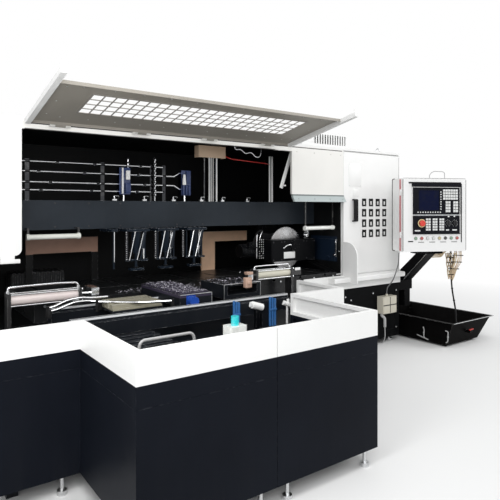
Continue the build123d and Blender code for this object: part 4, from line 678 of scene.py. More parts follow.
hold_down_coat = paint(
    "blue hold-down coat", (0.0055, 0.0105, 0.018), (0.55, 0.57, 0.6), 0.28, 0.3, 1.0,
    0.01, specular=0.15,
)
flap_low, flap_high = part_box("flap_frame")
flap_arm = 0.0385
arm_white = (0.74, 0.74, 0.73)
taupe_bare = (0.42, 0.4, 0.37)
flap_coat = paint(
    "taupe flap coat", (0.29, 0.27, 0.235), taupe_bare, 0.46, 0.16, 0.6, 0.2,
    zones=[
        ((flap_low[0] - 0.01, -3, 0), (flap_low[0] + flap_arm, 3, 3), arm_white),
        ((flap_high[0] - flap_arm, -3, 0), (flap_high[0] + 0.01, 3, 3), arm_white),
    ],
)
mesh_coat = paint("taupe grid coat", (0.25, 0.235, 0.21), taupe_bare, 0.46, 0.16, 0.5, 0.2)

# %% [markdown]
# The feeding bay, the table and the clamps are castings and welded frames with
# machined strips, painted blocks and barrels on them, each of them a zone. Cast
# iron under oil is dark and rather glossy, with bare metal along its edges.

# %% Coats of the bay, the table and the clamps
pale_rail = (0.6, 0.61, 0.62)
feed_coat = paint(
    "black feed frame coat", (0.0075, 0.009, 0.012), (0.52, 0.52, 0.53), 0.36, 0.3, 1.0, 0.03,
    specular=0.15,
    zones=[
        ((-2.72, -0.6235, 0.886), (-0.18, -0.615, 0.899), pale_rail),
        ((-2.72, -0.595, 0.886), (-0.18, -0.5865, 0.899), pale_rail),
        ((-2.72, -0.1685, 0.886), (-0.18, -0.16, 0.899), pale_rail),
        ((-1.425, -0.525, 0.935), (-1.155, 0.145, 0.975), (0.04, 0.034, 0.055)),
        ((-1.885, -0.445, 0.885), (-1.515, -0.135, 0.93), (0.25, 0.235, 0.18)),
        ((-1.37, -0.583, 0.87), (-1.295, -0.5195, 0.95), (0.012, 0.055, 0.3)),
    ],
)
table_iron = paint(
    "oiled cast iron", (0.012, 0.0125, 0.0135), (0.46, 0.46, 0.47), 0.3, 0.5, 1.0, 0.03,
    specular=0.25,
    zones=[
        ((-0.27, 1.19, 0.881), (0.4, 1.24, 1.32), (0.8, 0.53, 0.36)),
        ((-2.07, 1.19, 1.15), (-1.39, 1.24, 1.3), (0.42, 0.255, 0.19)),
        # the posts under the tan bar get the sawing room's painted shade
        ((-2.07, 1.19, 0.881), (-1.39, 1.24, 1.15), painted_room_shade),
    ],
)


def clamp_coat(name, zone):
    """Black enamel for the clamp's ends, with the barrel's own colour as a zone."""
    black, bare = (0.012, 0.012, 0.013), (0.5, 0.5, 0.5)
    return paint(name, black, bare, 0.3, 0.1, 1.0, 0.2, coat=0.2, zones=[zone])


left_clamp_coat = clamp_coat(
    "pale barrel coat on black ends",
    ((-2.437, -0.048, 0.9175), (-1.987, 0.028, 0.993), (0.66, 0.58, 0.56)),
)
right_clamp_coat = clamp_coat(
    "cream barrel coat on black ends",
    ((-0.314, 0.03, 0.9175), (0.083, 0.13, 0.993), (0.6, 0.575, 0.47)),
)
lid_groove = (0.03, 0.028, 0.022)
junction_coat = paint(
    "cream junction box coat", (0.58, 0.55, 0.46), (0.35, 0.34, 0.31), 0.42, 0.06, 0.4, 0.1,
    zones=[
        ((1.6365, 0.1, 0.368), (1.6495, 0.1154, 0.552), lid_groove),
        ((1.53, 0.1, 0.4525), (1.756, 0.1154, 0.4655), lid_groove),
    ],
)
valve_red = paint(
    "red valve paint", (0.55, 0.03, 0.025), (0.35, 0.3, 0.28), 0.3, 0.1, 0.6, 0.1, coat=0.3
)
cover_cream = paint(
    "cream cover coat", (0.55, 0.4, 0.28), (0.62, 0.55, 0.45), 0.42, 0.12, 0.6, 0.2
)
tan_coat = paint(
    "tan bracket coat", (0.5, 0.33, 0.25), (0.66, 0.55, 0.48), 0.42, 0.12, 0.7, 0.2
)
coil_coat = paint("navy coil coat", (0.012, 0.03, 0.11), (0.2, 0.22, 0.26), 0.4)

# %% [markdown]
# Steel comes ground, drawn, plated or blackened. The pipe manifold is one CAD node
# with bright pipes and dark posts, valve blocks and brackets, so those are zones.

# %% Metals
post_dark = (0.05, 0.052, 0.056)
valve_navy = (0.035, 0.05, 0.115)
drawn_steel = (0.82, 0.83, 0.85)
blade_steel = metal(
    "ground blade steel", (0.62, 0.62, 0.63), (0.26, 0.22, 0.2), 0.24, (90.0, 900.0, 90.0), 0.45
)
bright_steel = metal(
    "bright rod steel", (0.78, 0.79, 0.8), (0.4, 0.39, 0.37), 0.14, (5.0, 500.0, 500.0), 0.12
)
pipe_steel = metal(
    "drawn pipe steel", drawn_steel, (0.34, 0.33, 0.31), 0.22, (3.0, 500.0, 500.0), 0.18,
    zones=[
        ((-2.1835, 0.66, 1.641), (-2.1465, 0.74, 2.2), post_dark),
        ((-1.5535, 0.66, 1.641), (-1.5165, 0.74, 2.2), post_dark),
        ((-1.0805, 0.66, 1.641), (-1.0435, 0.74, 2.2), post_dark),
        ((-0.9535, 0.66, 1.641), (-0.9165, 0.74, 2.2), post_dark),
        ((-0.52, 0.66, 1.641), (-0.33, 0.76, 2.084), (0.03, 0.031, 0.034)),
        ((-1.395, 0.672, 1.695), (-1.287, 0.738, 1.945), valve_navy),
        ((-0.769, 0.672, 1.695), (-0.661, 0.738, 1.945), valve_navy),
        ((0.308, 0.675, 1.641), (0.362, 0.735, 2.15), (0.05, 0.052, 0.055)),
    ],
)
even_grain = (200.0, 200.0, 200.0)
chip_steel = metal(
    "dull metal chips", (0.34, 0.33, 0.37), (0.12, 0.11, 0.12), 0.36, even_grain, 0.5
)
zinc_steel = metal(
    "zinc plated screws", (0.66, 0.67, 0.68), (0.35, 0.33, 0.29), 0.3, even_grain, 0.3
)
dark_steel = metal(
    "blackened steel", (0.06, 0.06, 0.065), (0.03, 0.03, 0.03), 0.42, (60.0, 60.0, 60.0), 0.3
)
strip_metal = metal("brushed strip", (0.72, 0.72, 0.71), (0.5, 0.5, 0.48), 0.32)
collar_metal = metal("collar metal", (0.55, 0.55, 0.54), (0.4, 0.4, 0.38), 0.35)

# %% [markdown]
# Plastics, rubbers and the panel's foil share the moulded group. The operator
# panel is one node too: screen, key fields and silver strip are zones in the
# turned coordinates of the control box.

# %% Plastics and rubbers
box_corner = (1.88, -0.315, 1.092)
box_turn = math.radians(-24.8)
key_grey = (0.7, 0.71, 0.7)
handle_plastic = plastic(
    "black handle plastic", (0.006, 0.006, 0.0065), (0.03, 0.03, 0.03), 0.45, 800.0, 0.3,
    specular=0.12,
)
knob_plastic = plastic(
    "black knob plastic", (0.01, 0.01, 0.011), (0.05, 0.05, 0.05), 0.36, 900.0, 0.4,
    specular=0.35,
)
oil_plastic = plastic(
    "milky tank plastic and pump", (0.3, 0.3, 0.3), (0.42, 0.41, 0.38), 0.28, 300.0, 0.25,
    coat=0.2,
    zones=[
        ((-2.112, -1.56, 0.6), (-1.838, -1.3, 0.892), (0.014, 0.014, 0.015)),
        ((-1.64, -1.5, 0.6), (-1.51, -1.38, 0.9352), (0.78, 0.79, 0.76)),
        ((-1.64, -1.5, 0.9352), (-1.51, -1.38, 1.02), (0.02, 0.52, 0.56)),
    ],
)
panel_plastic = plastic(
    "black panel foil with light keys", (0.005, 0.0055, 0.008), (0.012, 0.013, 0.016),
    0.42, 700.0, 0.3,
    specular=0.08,
    frame_at=box_corner,
    frame_turn=box_turn,
    zones=[
        ((-0.27, -0.0162, 0.193), (0.308, -0.0122, 0.7195), key_grey),
        ((-0.1992, -0.0118, 0.4588), (0.0462, -0.007, 0.6812), (0.0012, 0.0034, 0.022)),
        ((-0.275, -0.005, 0.3978), (0.313, 0.001, 0.4142), (0.55, 0.56, 0.57)),
    ],
)
lamp_plastic = plastic(
    "pale lamp tubes on dark hangers", (0.012, 0.012, 0.013), (0.55, 0.55, 0.5),
    0.22, 300.0, 0.15,
    coat=0.3,
    zones=[
        ((-2.26, 0.555, 1.317), (-1.72, 0.606, 1.3693), (0.82, 0.83, 0.77)),
        ((0.45, 0.284, 1.336), (0.97, 0.336, 1.3883), (0.82, 0.83, 0.8)),
    ],
)
key_plastic = plastic("light key plastic", key_grey, (0.48, 0.48, 0.46), 0.42, 900.0, 0.4)
cream_plastic = plastic(
    "cream stop ring", (0.72, 0.58, 0.3), (0.6, 0.48, 0.28), 0.42
)
stop_plastic = plastic(
    "red stop plastic", (0.62, 0.03, 0.016), (0.45, 0.05, 0.04), 0.28, coat=0.4
)
hose_rubber = plastic(
    "black hose rubber", (0.006, 0.006, 0.0065), (0.03, 0.03, 0.03), 0.52, 1200.0, 0.4,
    specular=0.15,
)
cable_rubber = plastic(
    "grey cable sheath", (0.13, 0.13, 0.135), (0.24, 0.24, 0.24), 0.5, 1200.0, 0.5
)
tan_rubber = plastic("tan wire sheath", (0.62, 0.5, 0.33), (0.42, 0.26, 0.17), 0.5, 60.0, 0.8)
seal_rubber = plastic("red door seal", (0.52, 0.11, 0.13), (0.4, 0.18, 0.18), 0.5)
blue_plastic = plastic(
    "blue tube plastic", (0.03, 0.125, 0.33), (0.1, 0.2, 0.36), 0.34
)
sleeve_plastic = plastic(
    "grey sleeve plastic", (0.4, 0.4, 0.4), (0.3, 0.3, 0.29), 0.45
)
button_plastic = {}
for shade, colour in {
    "green": (0.2, 0.3, 0.22),
    "red": (0.4, 0.1, 0.09),
    "white": (0.58, 0.59, 0.58),
    "yellow": (0.48, 0.42, 0.24),
    "black": (0.05, 0.05, 0.05),
}.items():
    paler = tuple(0.8 * c + 0.05 for c in colour)
    button_plastic[shade] = plastic(
        shade + " button plastic", colour, paler, 0.28, coat=0.3
    )
print("finishes:", len(bpy.data.materials))

# %% [markdown]
# ## Finishes on the CAD nodes
# A node whose shape is right stays as it is and only gets its finish. The mesh is
# left alone: the finish goes into the object's material slot.

# %% Dress the CAD nodes
dressing = (
    (base_coat, "bed_frame"),
    (zinc_steel, "levelling_feet"),
    (table_iron, "work_table"),
    (feed_coat, "feed_bed"),
    (shell_coat, "left_end_cover enclosure_shell"),
    (header_coat, "front_header"),
    (white_coat, "apron roof_vent cabinet_door"),
    (cabinet_coat, "cabinet_shell"),
    (handle_plastic, "door_handle"),
    (flap_coat, "flap_frame"),
    (mesh_coat, "flap_mesh"),
    (beam_coat, "cross_beam"),
    (machinery_coat, "saw_carriage saw_head"),
    (blade_steel, "saw_blade"),
    (bright_steel, "blade_flange clamp_rod_left clamp_rod_right"),
    (hold_down_coat, "hold_down_guides hold_down_foot_1 hold_down_foot_2 hold_down_foot_3"),
    (pipe_steel, "pipe_manifold"),
    (lamp_plastic, "work_lamps"),
    (left_clamp_coat, "clamp_cylinder_left"),
    (right_clamp_coat, "clamp_cylinder_right"),
    (oil_plastic, "lubricator"),
    (tank_coat, "coolant_tank"),
    (valve_red, "tank_tap_lever"),
    (junction_coat, "junction_box"),
    (box_coat, "control_housing control_door"),
    (panel_plastic, "operator_panel"),
    (stop_plastic, "emergency_stop"),
    (knob_plastic, "feed_knob speed_knob"),
    (arm_coat, "support_arm"),
    (cable_rubber, "control_cable"),
    (hose_rubber, "panel_hose"),
)
node_finish = {name: finish for finish, names in dressing for name in names.split()}
for side in ("left", "step_left", "centre_left", "centre_right", "step_right", "right"):
    node_finish["guard_panel_" + side] = guard_coat
for side in ("left", "centre_left", "centre_right", "right"):
    node_finish["guard_trim_" + side] = white_coat
for number, shade in enumerate("green red white white yellow black green red".split(), 1):
    node_finish["push_button_%d" % number] = button_plastic[shade]

for name, node in nodes.items():
    node.data.materials.clear()
    node.data.materials.append(node_finish[name])
print("nodes dressed:", len(node_finish))

# %% [markdown]
# ## Node trees for what repeats
# Screws, beads on a rod, ribs and coils come in rows of equal pieces, bought in
# boxes and set by a jig. Each kind is one Geometry Nodes tree with named inputs;
# the result is turned into a plain mesh, so that the piece can ride on its body.

# %% Tree helpers
def new_tree(name, inputs):
    """A Geometry Nodes tree with named inputs, a material and one geometry output."""
    inputs = [("Geometry", "Geometry", None), *inputs, ("Material", "Material", None)]
    return new_group(name, inputs, [("Geometry", "Geometry")], "GeometryNodeTree")


def copies_on(tree, points, piece, **more):
    """A copy of a piece on each point."""
    kind = "GeometryNodeInstanceOnPoints"
    return place(tree, kind, in_Points=points, in_Instance=piece, **more)


def end_tree(tree, geometry, material):
    """Every tree ends the same way: realised instances with one material."""
    real = place(tree, "GeometryNodeRealizeInstances", in_0=geometry)
    coat = place(tree, "GeometryNodeSetMaterial", in_Geometry=real, in_Material=material)
    end_group(tree, in_Geometry=coat)


def grow(name, tree, values, material, body="machine", points=((0, 0, 0),)):
    """Runs a tree on a few points and keeps the result as a plain mesh."""
    data = bpy.data.meshes.new(name + " places")
    data.from_pydata([tuple(point) for point in points], [], [])
    carrier = new_object(name + " carrier", data)
    modifier = carrier.modifiers.new("tree", "NODES")
    modifier.node_group = tree
    values = {**values, "Material": material}
    for item in tree.interface.items_tree:
        if item.item_type == "SOCKET" and item.in_out == "INPUT" and item.name in values:
            modifier[item.identifier] = values[item.name]
    evaluated = carrier.evaluated_get(bpy.context.evaluated_depsgraph_get())
    mesh = bpy.data.meshes.new_from_object(evaluated)
    mesh.name = name
    piece = new_object(name.replace(" ", "_"), mesh)
    bpy.data.objects.remove(carrier)
    bpy.data.meshes.remove(data)
    return set_on_body(piece, body)


def touch(node, start, aim):
    """Where a straight line from start first meets a CAD node."""
    target = nodes[node]
    back = target.matrix_world.inverted()
    inward = (back.to_3x3() @ Vector(aim)).normalized()
    hit, at, _, _ = target.ray_cast(back @ Vector(start), inward)
    if not hit:
        print("no surface of", node, "from", [round(c, 3) for c in start])
        return None
    return target.matrix_world @ at


# %% [markdown]
# A cap screw is a short cylinder with a rounded rim and a sunk socket. The tree
# scales the top face, draws a smaller one inside it and pushes that one down; each
# copy is turned a little differently, as screws are once they are tight.

# %% Screw heads
screw_heads = new_tree(
    "screw heads",
    [
        ("Radius", "Float", 0.006),
        ("Height", "Float", 0.004),
        ("Socket Share", "Float", 0.5),
        ("Aim", "Vector", (0, -1, 0)),
        ("Seed", "Int", 3),
    ],
)


def cylinder(tree, sides, radius, depth):
    """An upright cylinder whose side has three steps, so that its rim can be rounded."""
    sizes = {"in_Radius": radius, "in_Depth": depth, "in_Side_Segments": 3}
    return place(tree, "GeometryNodeMeshCylinder", in_Vertices=sides, **sizes)


def scale_faces(tree, mesh, faces, scale):
    """The chosen faces of a mesh drawn smaller."""
    chosen = {"domain": "FACE", "in_Selection": faces}
    return place(tree, "GeometryNodeScaleElements", in_Geometry=mesh, in_Scale=scale, **chosen)


def push_faces(tree, mesh, faces, offset):
    """The chosen faces of a mesh pushed out, or in, as one."""
    chosen = {"mode": "FACES", "in_Selection": faces, "in_Individual": False}
    return place(tree, "GeometryNodeExtrudeMesh", in_Mesh=mesh, in_Offset_Scale=offset, **chosen)


def fill_screw_heads(tree):
    """A round head with a sunk socket, turned to its Aim and spun by chance."""
    given = place(tree, "NodeGroupInput").outputs
    head = cylinder(tree, 12, given["Radius"], given["Height"])
    rim = scale_faces(tree, head, head.outputs["Top"], 0.84)
    lid = push_faces(tree, rim, head.outputs["Top"], 0.0)
    inner = scale_faces(tree, lid, lid.outputs["Top"], given["Socket Share"])
    drop = maths(tree, "MULTIPLY", given["Height"], -0.6)
    socket = push_faces(tree, inner, lid.outputs["Top"], drop)
    lift = place(tree, "ShaderNodeCombineXYZ", in_Z=maths(tree, "MULTIPLY", given["Height"], 0.5))
    seat = place(tree, "GeometryNodeTransform", in_Geometry=socket, in_Translation=lift)
    aim = place(tree, "FunctionNodeAlignRotationToVector", axis="Z", in_Vector=given["Aim"])
    chance = place(
        tree, "FunctionNodeRandomValue", data_type="FLOAT", in_3=math.tau, in_Seed=given["Seed"]
    )
    about = {"in_Axis": (0, 0, 1), "in_Angle": chance.outputs[1]}
    spin = place(tree, "FunctionNodeAxisAngleToRotation", **about)
    turned = place(tree, "FunctionNodeRotateRotation", rotation_space="LOCAL", in_0=aim, in_1=spin)
    copies = copies_on(tree, given["Geometry"], seat, in_Rotation=turned)
    end_tree(tree, copies, given["Material"])


fill_screw_heads(screw_heads)
to_back, to_floor, to_roof = (0, 1, 0), (0, 0, -1), (0, 0, 1)


def spots(across, y, heights):
    """Start points in rows, all at one depth."""
    return [(x, y, z) for x in across for z in heights]


def screws(
    name, node, starts, aim, body="machine",
    radius=0.007, height=0.004, material=zinc_steel,
):
    """Screw heads where straight lines from the starts meet a CAD node."""
    found = [touch(node, start, aim) for start in starts]
    facing = tuple(-c for c in Vector(aim).normalized())
    values = {"Radius": radius, "Height": height, "Aim": facing}
    points = [at for at in found if at is not None]
    return grow(name, screw_heads, values, material, body, points)


# %% [markdown]
# Bellows, cooling fins, cable chains and stacked blocks are all one thing: equal
# beads on a line. Flat ribs are the same with a plate in place of the bead. Both
# trees share the part that copies a piece at even steps from Start to End.

# %% Rows of beads and ribs
row_inputs = [
    ("Start", "Vector", (0, 0, 0)),
    ("End", "Vector", (0, 0, 0.1)),
    ("Count", "Int", 6),
]


def fill_row(tree, given, piece, turn):
    """Pieces at even steps from Start to End."""
    ends = {"in_Start_Location": given["Start"], "in_Offset": given["End"]}
    line = place(tree, "GeometryNodeMeshLine", mode="END_POINTS", in_Count=given["Count"], **ends)
    end_tree(tree, copies_on(tree, line, piece, in_Rotation=turn), given["Material"])


bead_row = new_tree(
    "bead row", row_inputs + [("Radius", "Float", 0.01), ("Length", "Float", 0.01)]
)


def fill_bead_row(tree):
    """A short cylinder with rounded rims, turned to lie along the row."""
    given = place(tree, "NodeGroupInput").outputs
    bead = cylinder(tree, 16, given["Radius"], given["Length"])
    faces = {"in_0": bead.outputs["Top"], "in_1": bead.outputs["Bottom"]}
    both = place(tree, "FunctionNodeBooleanMath", operation="OR", **faces)
    rounded = scale_faces(tree, bead, both, 0.7)
    along = vectors(tree, "SUBTRACT", given["End"], in_1=given["Start"])
    aim = place(tree, "FunctionNodeAlignRotationToVector", axis="Z", in_Vector=along)
    fill_row(tree, given, rounded, aim)


fill_bead_row(bead_row)

rib_row = new_tree(
    "rib row",
    row_inputs
    + [
        ("Width", "Float", 0.1),
        ("Height", "Float", 0.1),
        ("Thickness", "Float", 0.004),
        ("Corner", "Float", 0.002),
        ("Turn", "Rotation", (0, 0, 0)),
    ],
)


def fill_rib_row(tree):
    """A plate with rounded corners: its outline is filled, pushed out and closed."""
    given = place(tree, "NodeGroupInput").outputs
    sizes = {"in_Width": given["Width"], "in_Height": given["Height"]}
    outline = place(tree, "GeometryNodeCurvePrimitiveQuadrilateral", **sizes)
    bend = {"in_Count": 3, "in_Radius": given["Corner"]}
    corners = place(tree, "GeometryNodeFilletCurve", mode="POLY", in_Curve=outline, **bend)
    face = place(tree, "GeometryNodeFillCurve", mode="NGONS", in_0=corners)
    depth = {"mode": "FACES", "in_Offset_Scale": given["Thickness"]}
    thick = place(tree, "GeometryNodeExtrudeMesh", in_Mesh=face, **depth)
    under = place(tree, "GeometryNodeFlipFaces", in_0=face)
    closed = place(tree, "GeometryNodeJoinGeometry", in_0=thick)
    tree.links.new(under.outputs[0], closed.inputs[0])
    weld = {"in_Geometry": closed, "in_Distance": 0.00001}
    fill_row(tree, given, place(tree, "GeometryNodeMergeByDistance", **weld), given["Turn"])


fill_rib_row(rib_row)


def beads(name, start, end, count, radius, length, material, body="machine"):
    values = {"Start": start, "End": end, "Count": count, "Radius": radius, "Length": length}
    return grow(name, bead_row, values, material, body)


# %% [markdown]
# A spring is a round wire wound on a bar. The tree sweeps a small circle along a
# spiral of constant radius, which keeps the wire round wherever it bends.

# %% Coil
coil = new_tree(
    "coil",
    [
        ("At", "Vector", (0, 0, 0)),
        ("Turn", "Rotation", (0, 0, 0)),
        ("Turns", "Float", 6.0),
        ("Radius", "Float", 0.03),
        ("Height", "Float", 0.1),
        ("Wire", "Float", 0.004),
    ],
)


def swept(tree, path, profile):
    """A profile drawn along a path, with closed ends."""
    return place(
        tree, "GeometryNodeCurveToMesh",
        in_Curve=path, in_Profile_Curve=profile, in_Fill_Caps=True,
    )


def fill_coil(tree):
    """A round wire along a spiral of constant radius."""
    given = place(tree, "NodeGroupInput").outputs
    spiral = place(
        tree, "GeometryNodeCurveSpiral",
        in_Resolution=18,
        in_Rotations=given["Turns"],
        in_Start_Radius=given["Radius"],
        in_End_Radius=given["Radius"],
        in_Height=given["Height"],
    )
    wire = place(
        tree, "GeometryNodeCurvePrimitiveCircle", in_Resolution=8, in_Radius=given["Wire"]
    )
    moved = place(
        tree, "GeometryNodeTransform",
        in_Geometry=swept(tree, spiral, wire),
        in_Translation=given["At"],
        in_Rotation=given["Turn"],
    )
    end_tree(tree, moved, given["Material"])


fill_coil(coil)

# %% [markdown]
# Metal chips are short curled ribbons that the blade throws out. They are strewn on
# a flat place by a seeded spread, each with its own size and turn.

# %% Chips
chips = new_tree(
    "metal chips",
    [
        ("Centre", "Vector", (0, 0, 0)),
        ("Size X", "Float", 0.3),
        ("Size Y", "Float", 0.3),
        ("Density", "Float", 400.0),
        ("Seed", "Int", 5),
    ],
)


def fill_chips(tree):
    """Short curled ribbons, strewn flat with their own turn and size."""
    given = place(tree, "NodeGroupInput").outputs
    seed = given["Seed"]
    sizes = {"in_Size_X": given["Size X"], "in_Size_Y": given["Size Y"]}
    ground = place(tree, "GeometryNodeMeshGrid", **sizes)
    spread = place(
        tree, "GeometryNodeDistributePointsOnFaces",
        in_Mesh=ground, in_Density=given["Density"], in_Seed=seed,
    )
    curl = place(
        tree, "GeometryNodeCurveSpiral",
        in_Resolution=10, in_Rotations=0.7,
        in_Start_Radius=0.004, in_End_Radius=0.006, in_Height=0.004,
    )
    strip = place(
        tree, "GeometryNodeCurvePrimitiveQuadrilateral", in_Width=0.0005, in_Height=0.0024
    )
    turn = place(
        tree, "FunctionNodeRandomValue",
        data_type="FLOAT_VECTOR", in_0=(-0.5, -0.5, 0.0), in_1=(0.5, 0.5, math.tau), in_Seed=seed,
    )
    growth = place(
        tree, "FunctionNodeRandomValue", data_type="FLOAT", in_2=0.5, in_3=1.5, in_Seed=seed
    )
    ribbon = swept(tree, curl, strip)
    copies = copies_on(tree, spread, ribbon, in_Rotation=turn, in_Scale=growth.outputs[1])
    moved = place(
        tree, "GeometryNodeTransform", in_Geometry=copies, in_Translation=given["Centre"]
    )
    end_tree(tree, moved, given["Material"])


fill_chips(chips)

# %% [markdown]
# ## Cabinet door and outer sheets
# The cabinet breathes through punched patches with a black insert and a small pale
# lid in each. The lids are pressed in one die, so one lid is built and repeated.

# %% Louvre inserts and sheet details
door_front = 0.2
patch_x = [0.969 + 0.297 + 0.115 * i + 0.033 for i in range(4)]
patch_z = [1.25 + 0.117 * j + 0.038 for j in range(4)]
inserts, lids = start_shape(), start_shape()
for x in patch_x:
    for z in patch_z:
        for x_low, x_high, z_low, z_high in (
            (x - 0.034, x + 0.034, z - 0.043, z - 0.027),
            (x - 0.034, x + 0.034, z + 0.015, z + 0.043),
            (x - 0.034, x - 0.013, z - 0.027, z + 0.015),
            (x + 0.015, x + 0.034, z - 0.027, z + 0.015),
        ):
            low, high = (x_low, 0.1965, z_low), (x_high, door_front, z_high)
            add_block(inserts, low, high, 0.001, segments=1)
        add_block(lids, (x - 0.012, 0.1975, z - 0.026), (x + 0.014, 0.2055, z + 0.014), 0.003)
finish_shape(inserts, "louvre inserts", handle_plastic, "cabinet_door")
finish_shape(lids, "louvre lids", key_plastic, "cabinet_door")
block_piece(
    "blank plates", white_coat,
    [
        ((1.052, 0.1972, 1.815), (1.25, door_front, 2.07)),
        ((1.12, 0.1972, 1.705), (1.206, door_front, 1.785)),
    ],
    0.0012, "cabinet_door",
)
screws(
    "plate screws", "cabinet_door",
    spots((1.062, 1.24), 0.1, (1.825, 2.06)),
    to_back, "cabinet_door", radius=0.005, height=0.0045,
)
block_piece(
    "sheet seams", sleeve_plastic,
    [
        ((1.249, 0.1982, 0.764), (1.896, 0.2002, 0.769)),
        ((1.905, 0.1982, 0.846), (1.912, 0.2002, 2.18)),
    ],
    0.0006,
)
ledge = start_shape()
add_block(ledge, (-2.458, 0.186, 1.181), (-2.327, 0.207, 1.21), 0.003)
add_block(ledge, (-2.456, 0.1985, 1.206), (-2.362, 0.205, 1.242), 0.001)
finish_shape(ledge, "left ledge", white_coat)
screws(
    "cover screws", "enclosure_shell", spots((-2.62, -2.4), 0.05, (1.3, 2.15)), to_back,
    radius=0.008, material=white_coat,
)

# %% [markdown]
# The roof is laid in sheets whose seams are covered by flat strips, with a hatch
# over the saw. It comes on the lorry in one lift, so six eyes are screwed to it;
# each is a round base and a bent bar, here a tube along part of a circle.

# %% Roof details
roof_top = 2.23
eye_radius = 0.024
eye_turns = [math.radians(angle) for angle in range(-80, 261, 20)]
roof = start_shape()
for x in seam_x[1:]:
    add_block(roof, (x - 0.012, 0.215, roof_top), (x + 0.012, 1.635, 2.24), 0.003)
add_block(roof, (-2.85, 1.6, roof_top), (1.91, 1.64, 2.236), 0.002)
add_block(roof, (-1.0, 0.9, roof_top), (-0.45, 1.3, 2.238), 0.004)
finish_shape(roof, "roof seams and hatch", white_coat)
eyes = start_shape()
for x in (-2.6, -0.7, 1.7):
    for y in (0.34, 1.5):
        add_rod(eyes, (x, y, roof_top), (x, y, 2.242), 0.026, 20)
        bow = [
            (x, y + eye_radius * math.cos(turn), 2.262 + eye_radius * math.sin(turn))
            for turn in eye_turns
        ]
        add_tube(eyes, bow, 0.0075, 10)
finish_shape(eyes, "lifting eyes", zinc_steel)
screws(
    "roof screws", "enclosure_shell",
    [(-2.8 + 0.31 * k, y, 2.9) for k in range(15) for y in (0.232, 1.62)],
    to_floor, radius=0.008,
)

# %% [markdown]
# ## Header and flap
# The header carries the flap on pins; its sheet is fixed with pan heads along the
# top. The flap's frame has a row of small heads round the grid, where the grid is
# clamped from behind, and they turn with it.

# %% Header and flap screws
header_row = spots((0.06, 0.3, 0.54, 0.78, 0.93), -0.1, (2.15,))
lower_row = spots((0.3, 0.52, 0.74, 0.93), -0.1, (1.67,))
screws(
    "header screws", "front_header", header_row + lower_row, to_back,
    radius=0.008, material=header_coat,
)
flap_across = [-2.1 + 0.205 * k for k in range(11)]
flap_rows = [(x, y, 1.9) for x in flap_across for y in (-0.52, 0.02)]
flap_ends = [(x, y, 1.9) for x in (-2.2, 0.04) for y in (-0.5, -0.26, -0.02)]
screws(
    "flap screws", "flap_frame", flap_rows + flap_ends, to_roof, "flap",
    radius=0.006, height=0.003,
)

# %% [markdown]
# ## Slate beam and the pipes above it
# Oil and air run in drawn steel pipes clamped in rows behind the beam, with unions
# where a length ends, elbows on the beam top and two valve blocks in navy. Stacked
# manifold blocks stand behind them, and a thin red line feeds the lift unit.

# %% Beam screws and fittings
beam_top = 1.6405
screws(
    "beam screws", "cross_beam",
    spots([-2.24 + 0.285 * k for k in range(12)], 0.3, (1.418, 1.617)),
    to_back, radius=0.009, height=0.003, material=dark_steel,
)
fittings = start_shape()
for x in (-1.436, -1.148, -0.848, -0.538, -0.289, 0.025):
    add_block(fittings, (x - 0.019, 0.674, 1.6403), (x + 0.019, 0.702, 1.657), 0.002)
    add_rod(fittings, (x, 0.688, 1.655), (x, 0.688, 1.672), 0.009, 6, 0.001)
    aside = x + 0.045
    elbow = [(x, 0.688, 1.67), (x, 0.688, 1.684), (aside, 0.688, 1.684), (aside, 0.72, beam_top)]
    add_pipe(fittings, elbow, 0.004, 0.012, 8)
finish_shape(fittings, "beam fittings", zinc_steel)

# %% [markdown]
# A union is a hexagon nut with a round collar behind it, screwed over the joint of
# two pipes. They sit at uneven places, because each pipe was cut where it fitted.

# %% Pipe unions
pipe_row_y = 0.705
unions = start_shape()
for height, stations in (
    (1.726, (-2.06, -1.64, -1.215)),
    (1.792, (-1.985, -1.58, -1.14)),
    (1.88, (-2.08, -1.7, -1.205)),
    (1.962, (-1.93, -1.61, -1.18)),
):
    for x in stations:
        nut, collar, end = [(x + dx, pipe_row_y, height) for dx in (-0.016, 0.016, 0.026)]
        add_rod(unions, nut, collar, 0.015, 6, 0.002)
        add_rod(unions, collar, end, 0.0125, 16, 0.001)
finish_shape(unions, "pipe unions", pipe_steel)

# %% [markdown]
# A valve block is bought as a bar with its coils and pressure dials screwed to the
# front. The manifold blocks are stacked on a spine and are equal, so they are
# beads on a rod; the lift unit has a bent sheet hood with an open front.

# %% Valves and manifolds
valve_front = 0.6755
valves = start_shape()
add_block(valves, (-1.372, 0.662, 1.705), (-1.357, valve_front, 1.938), 0.002)
add_block(valves, (-1.334, 0.655, 1.832), (-1.297, valve_front, 1.915), 0.004)
add_rod(valves, (-1.3155, 0.656, 1.872), (-1.3155, 0.644, 1.872), 0.012, 18)
add_rod(valves, (-0.741, 0.66, 1.8), (-0.741, 0.66, 1.9), 0.02, 20, 0.002, 0.012)
add_block(valves, (-0.752, 0.664, 1.842), (-0.73, valve_front, 1.862), 0.001)
finish_shape(valves, "valve fronts", white_coat)
coils = start_shape()
add_block(coils, (-1.339, 0.65, 1.711), (-1.292, valve_front, 1.801), 0.005)
for x in (-0.756, -0.722, -0.694):
    add_block(coils, (x, 0.66, 1.702), (x + 0.016, valve_front, 1.798), 0.002)
add_block(coils, (-0.716, 0.66, 1.815), (-0.672, valve_front, 1.935), 0.003)
finish_shape(coils, "valve coils", coil_coat)
beads(
    "stacked manifold", (-1.042, 0.69, 1.7), (-1.042, 0.69, 2.03), 9, 0.017, 0.026,
    pipe_steel,
)
beads(
    "second manifold", (-1.305, 0.69, 1.955), (-1.305, 0.69, 2.025), 3, 0.012, 0.016,
    dark_steel,
)
spines = start_shape()
add_rod(spines, (-1.042, 0.69, beam_top), (-1.042, 0.69, 2.046), 0.008, 12)
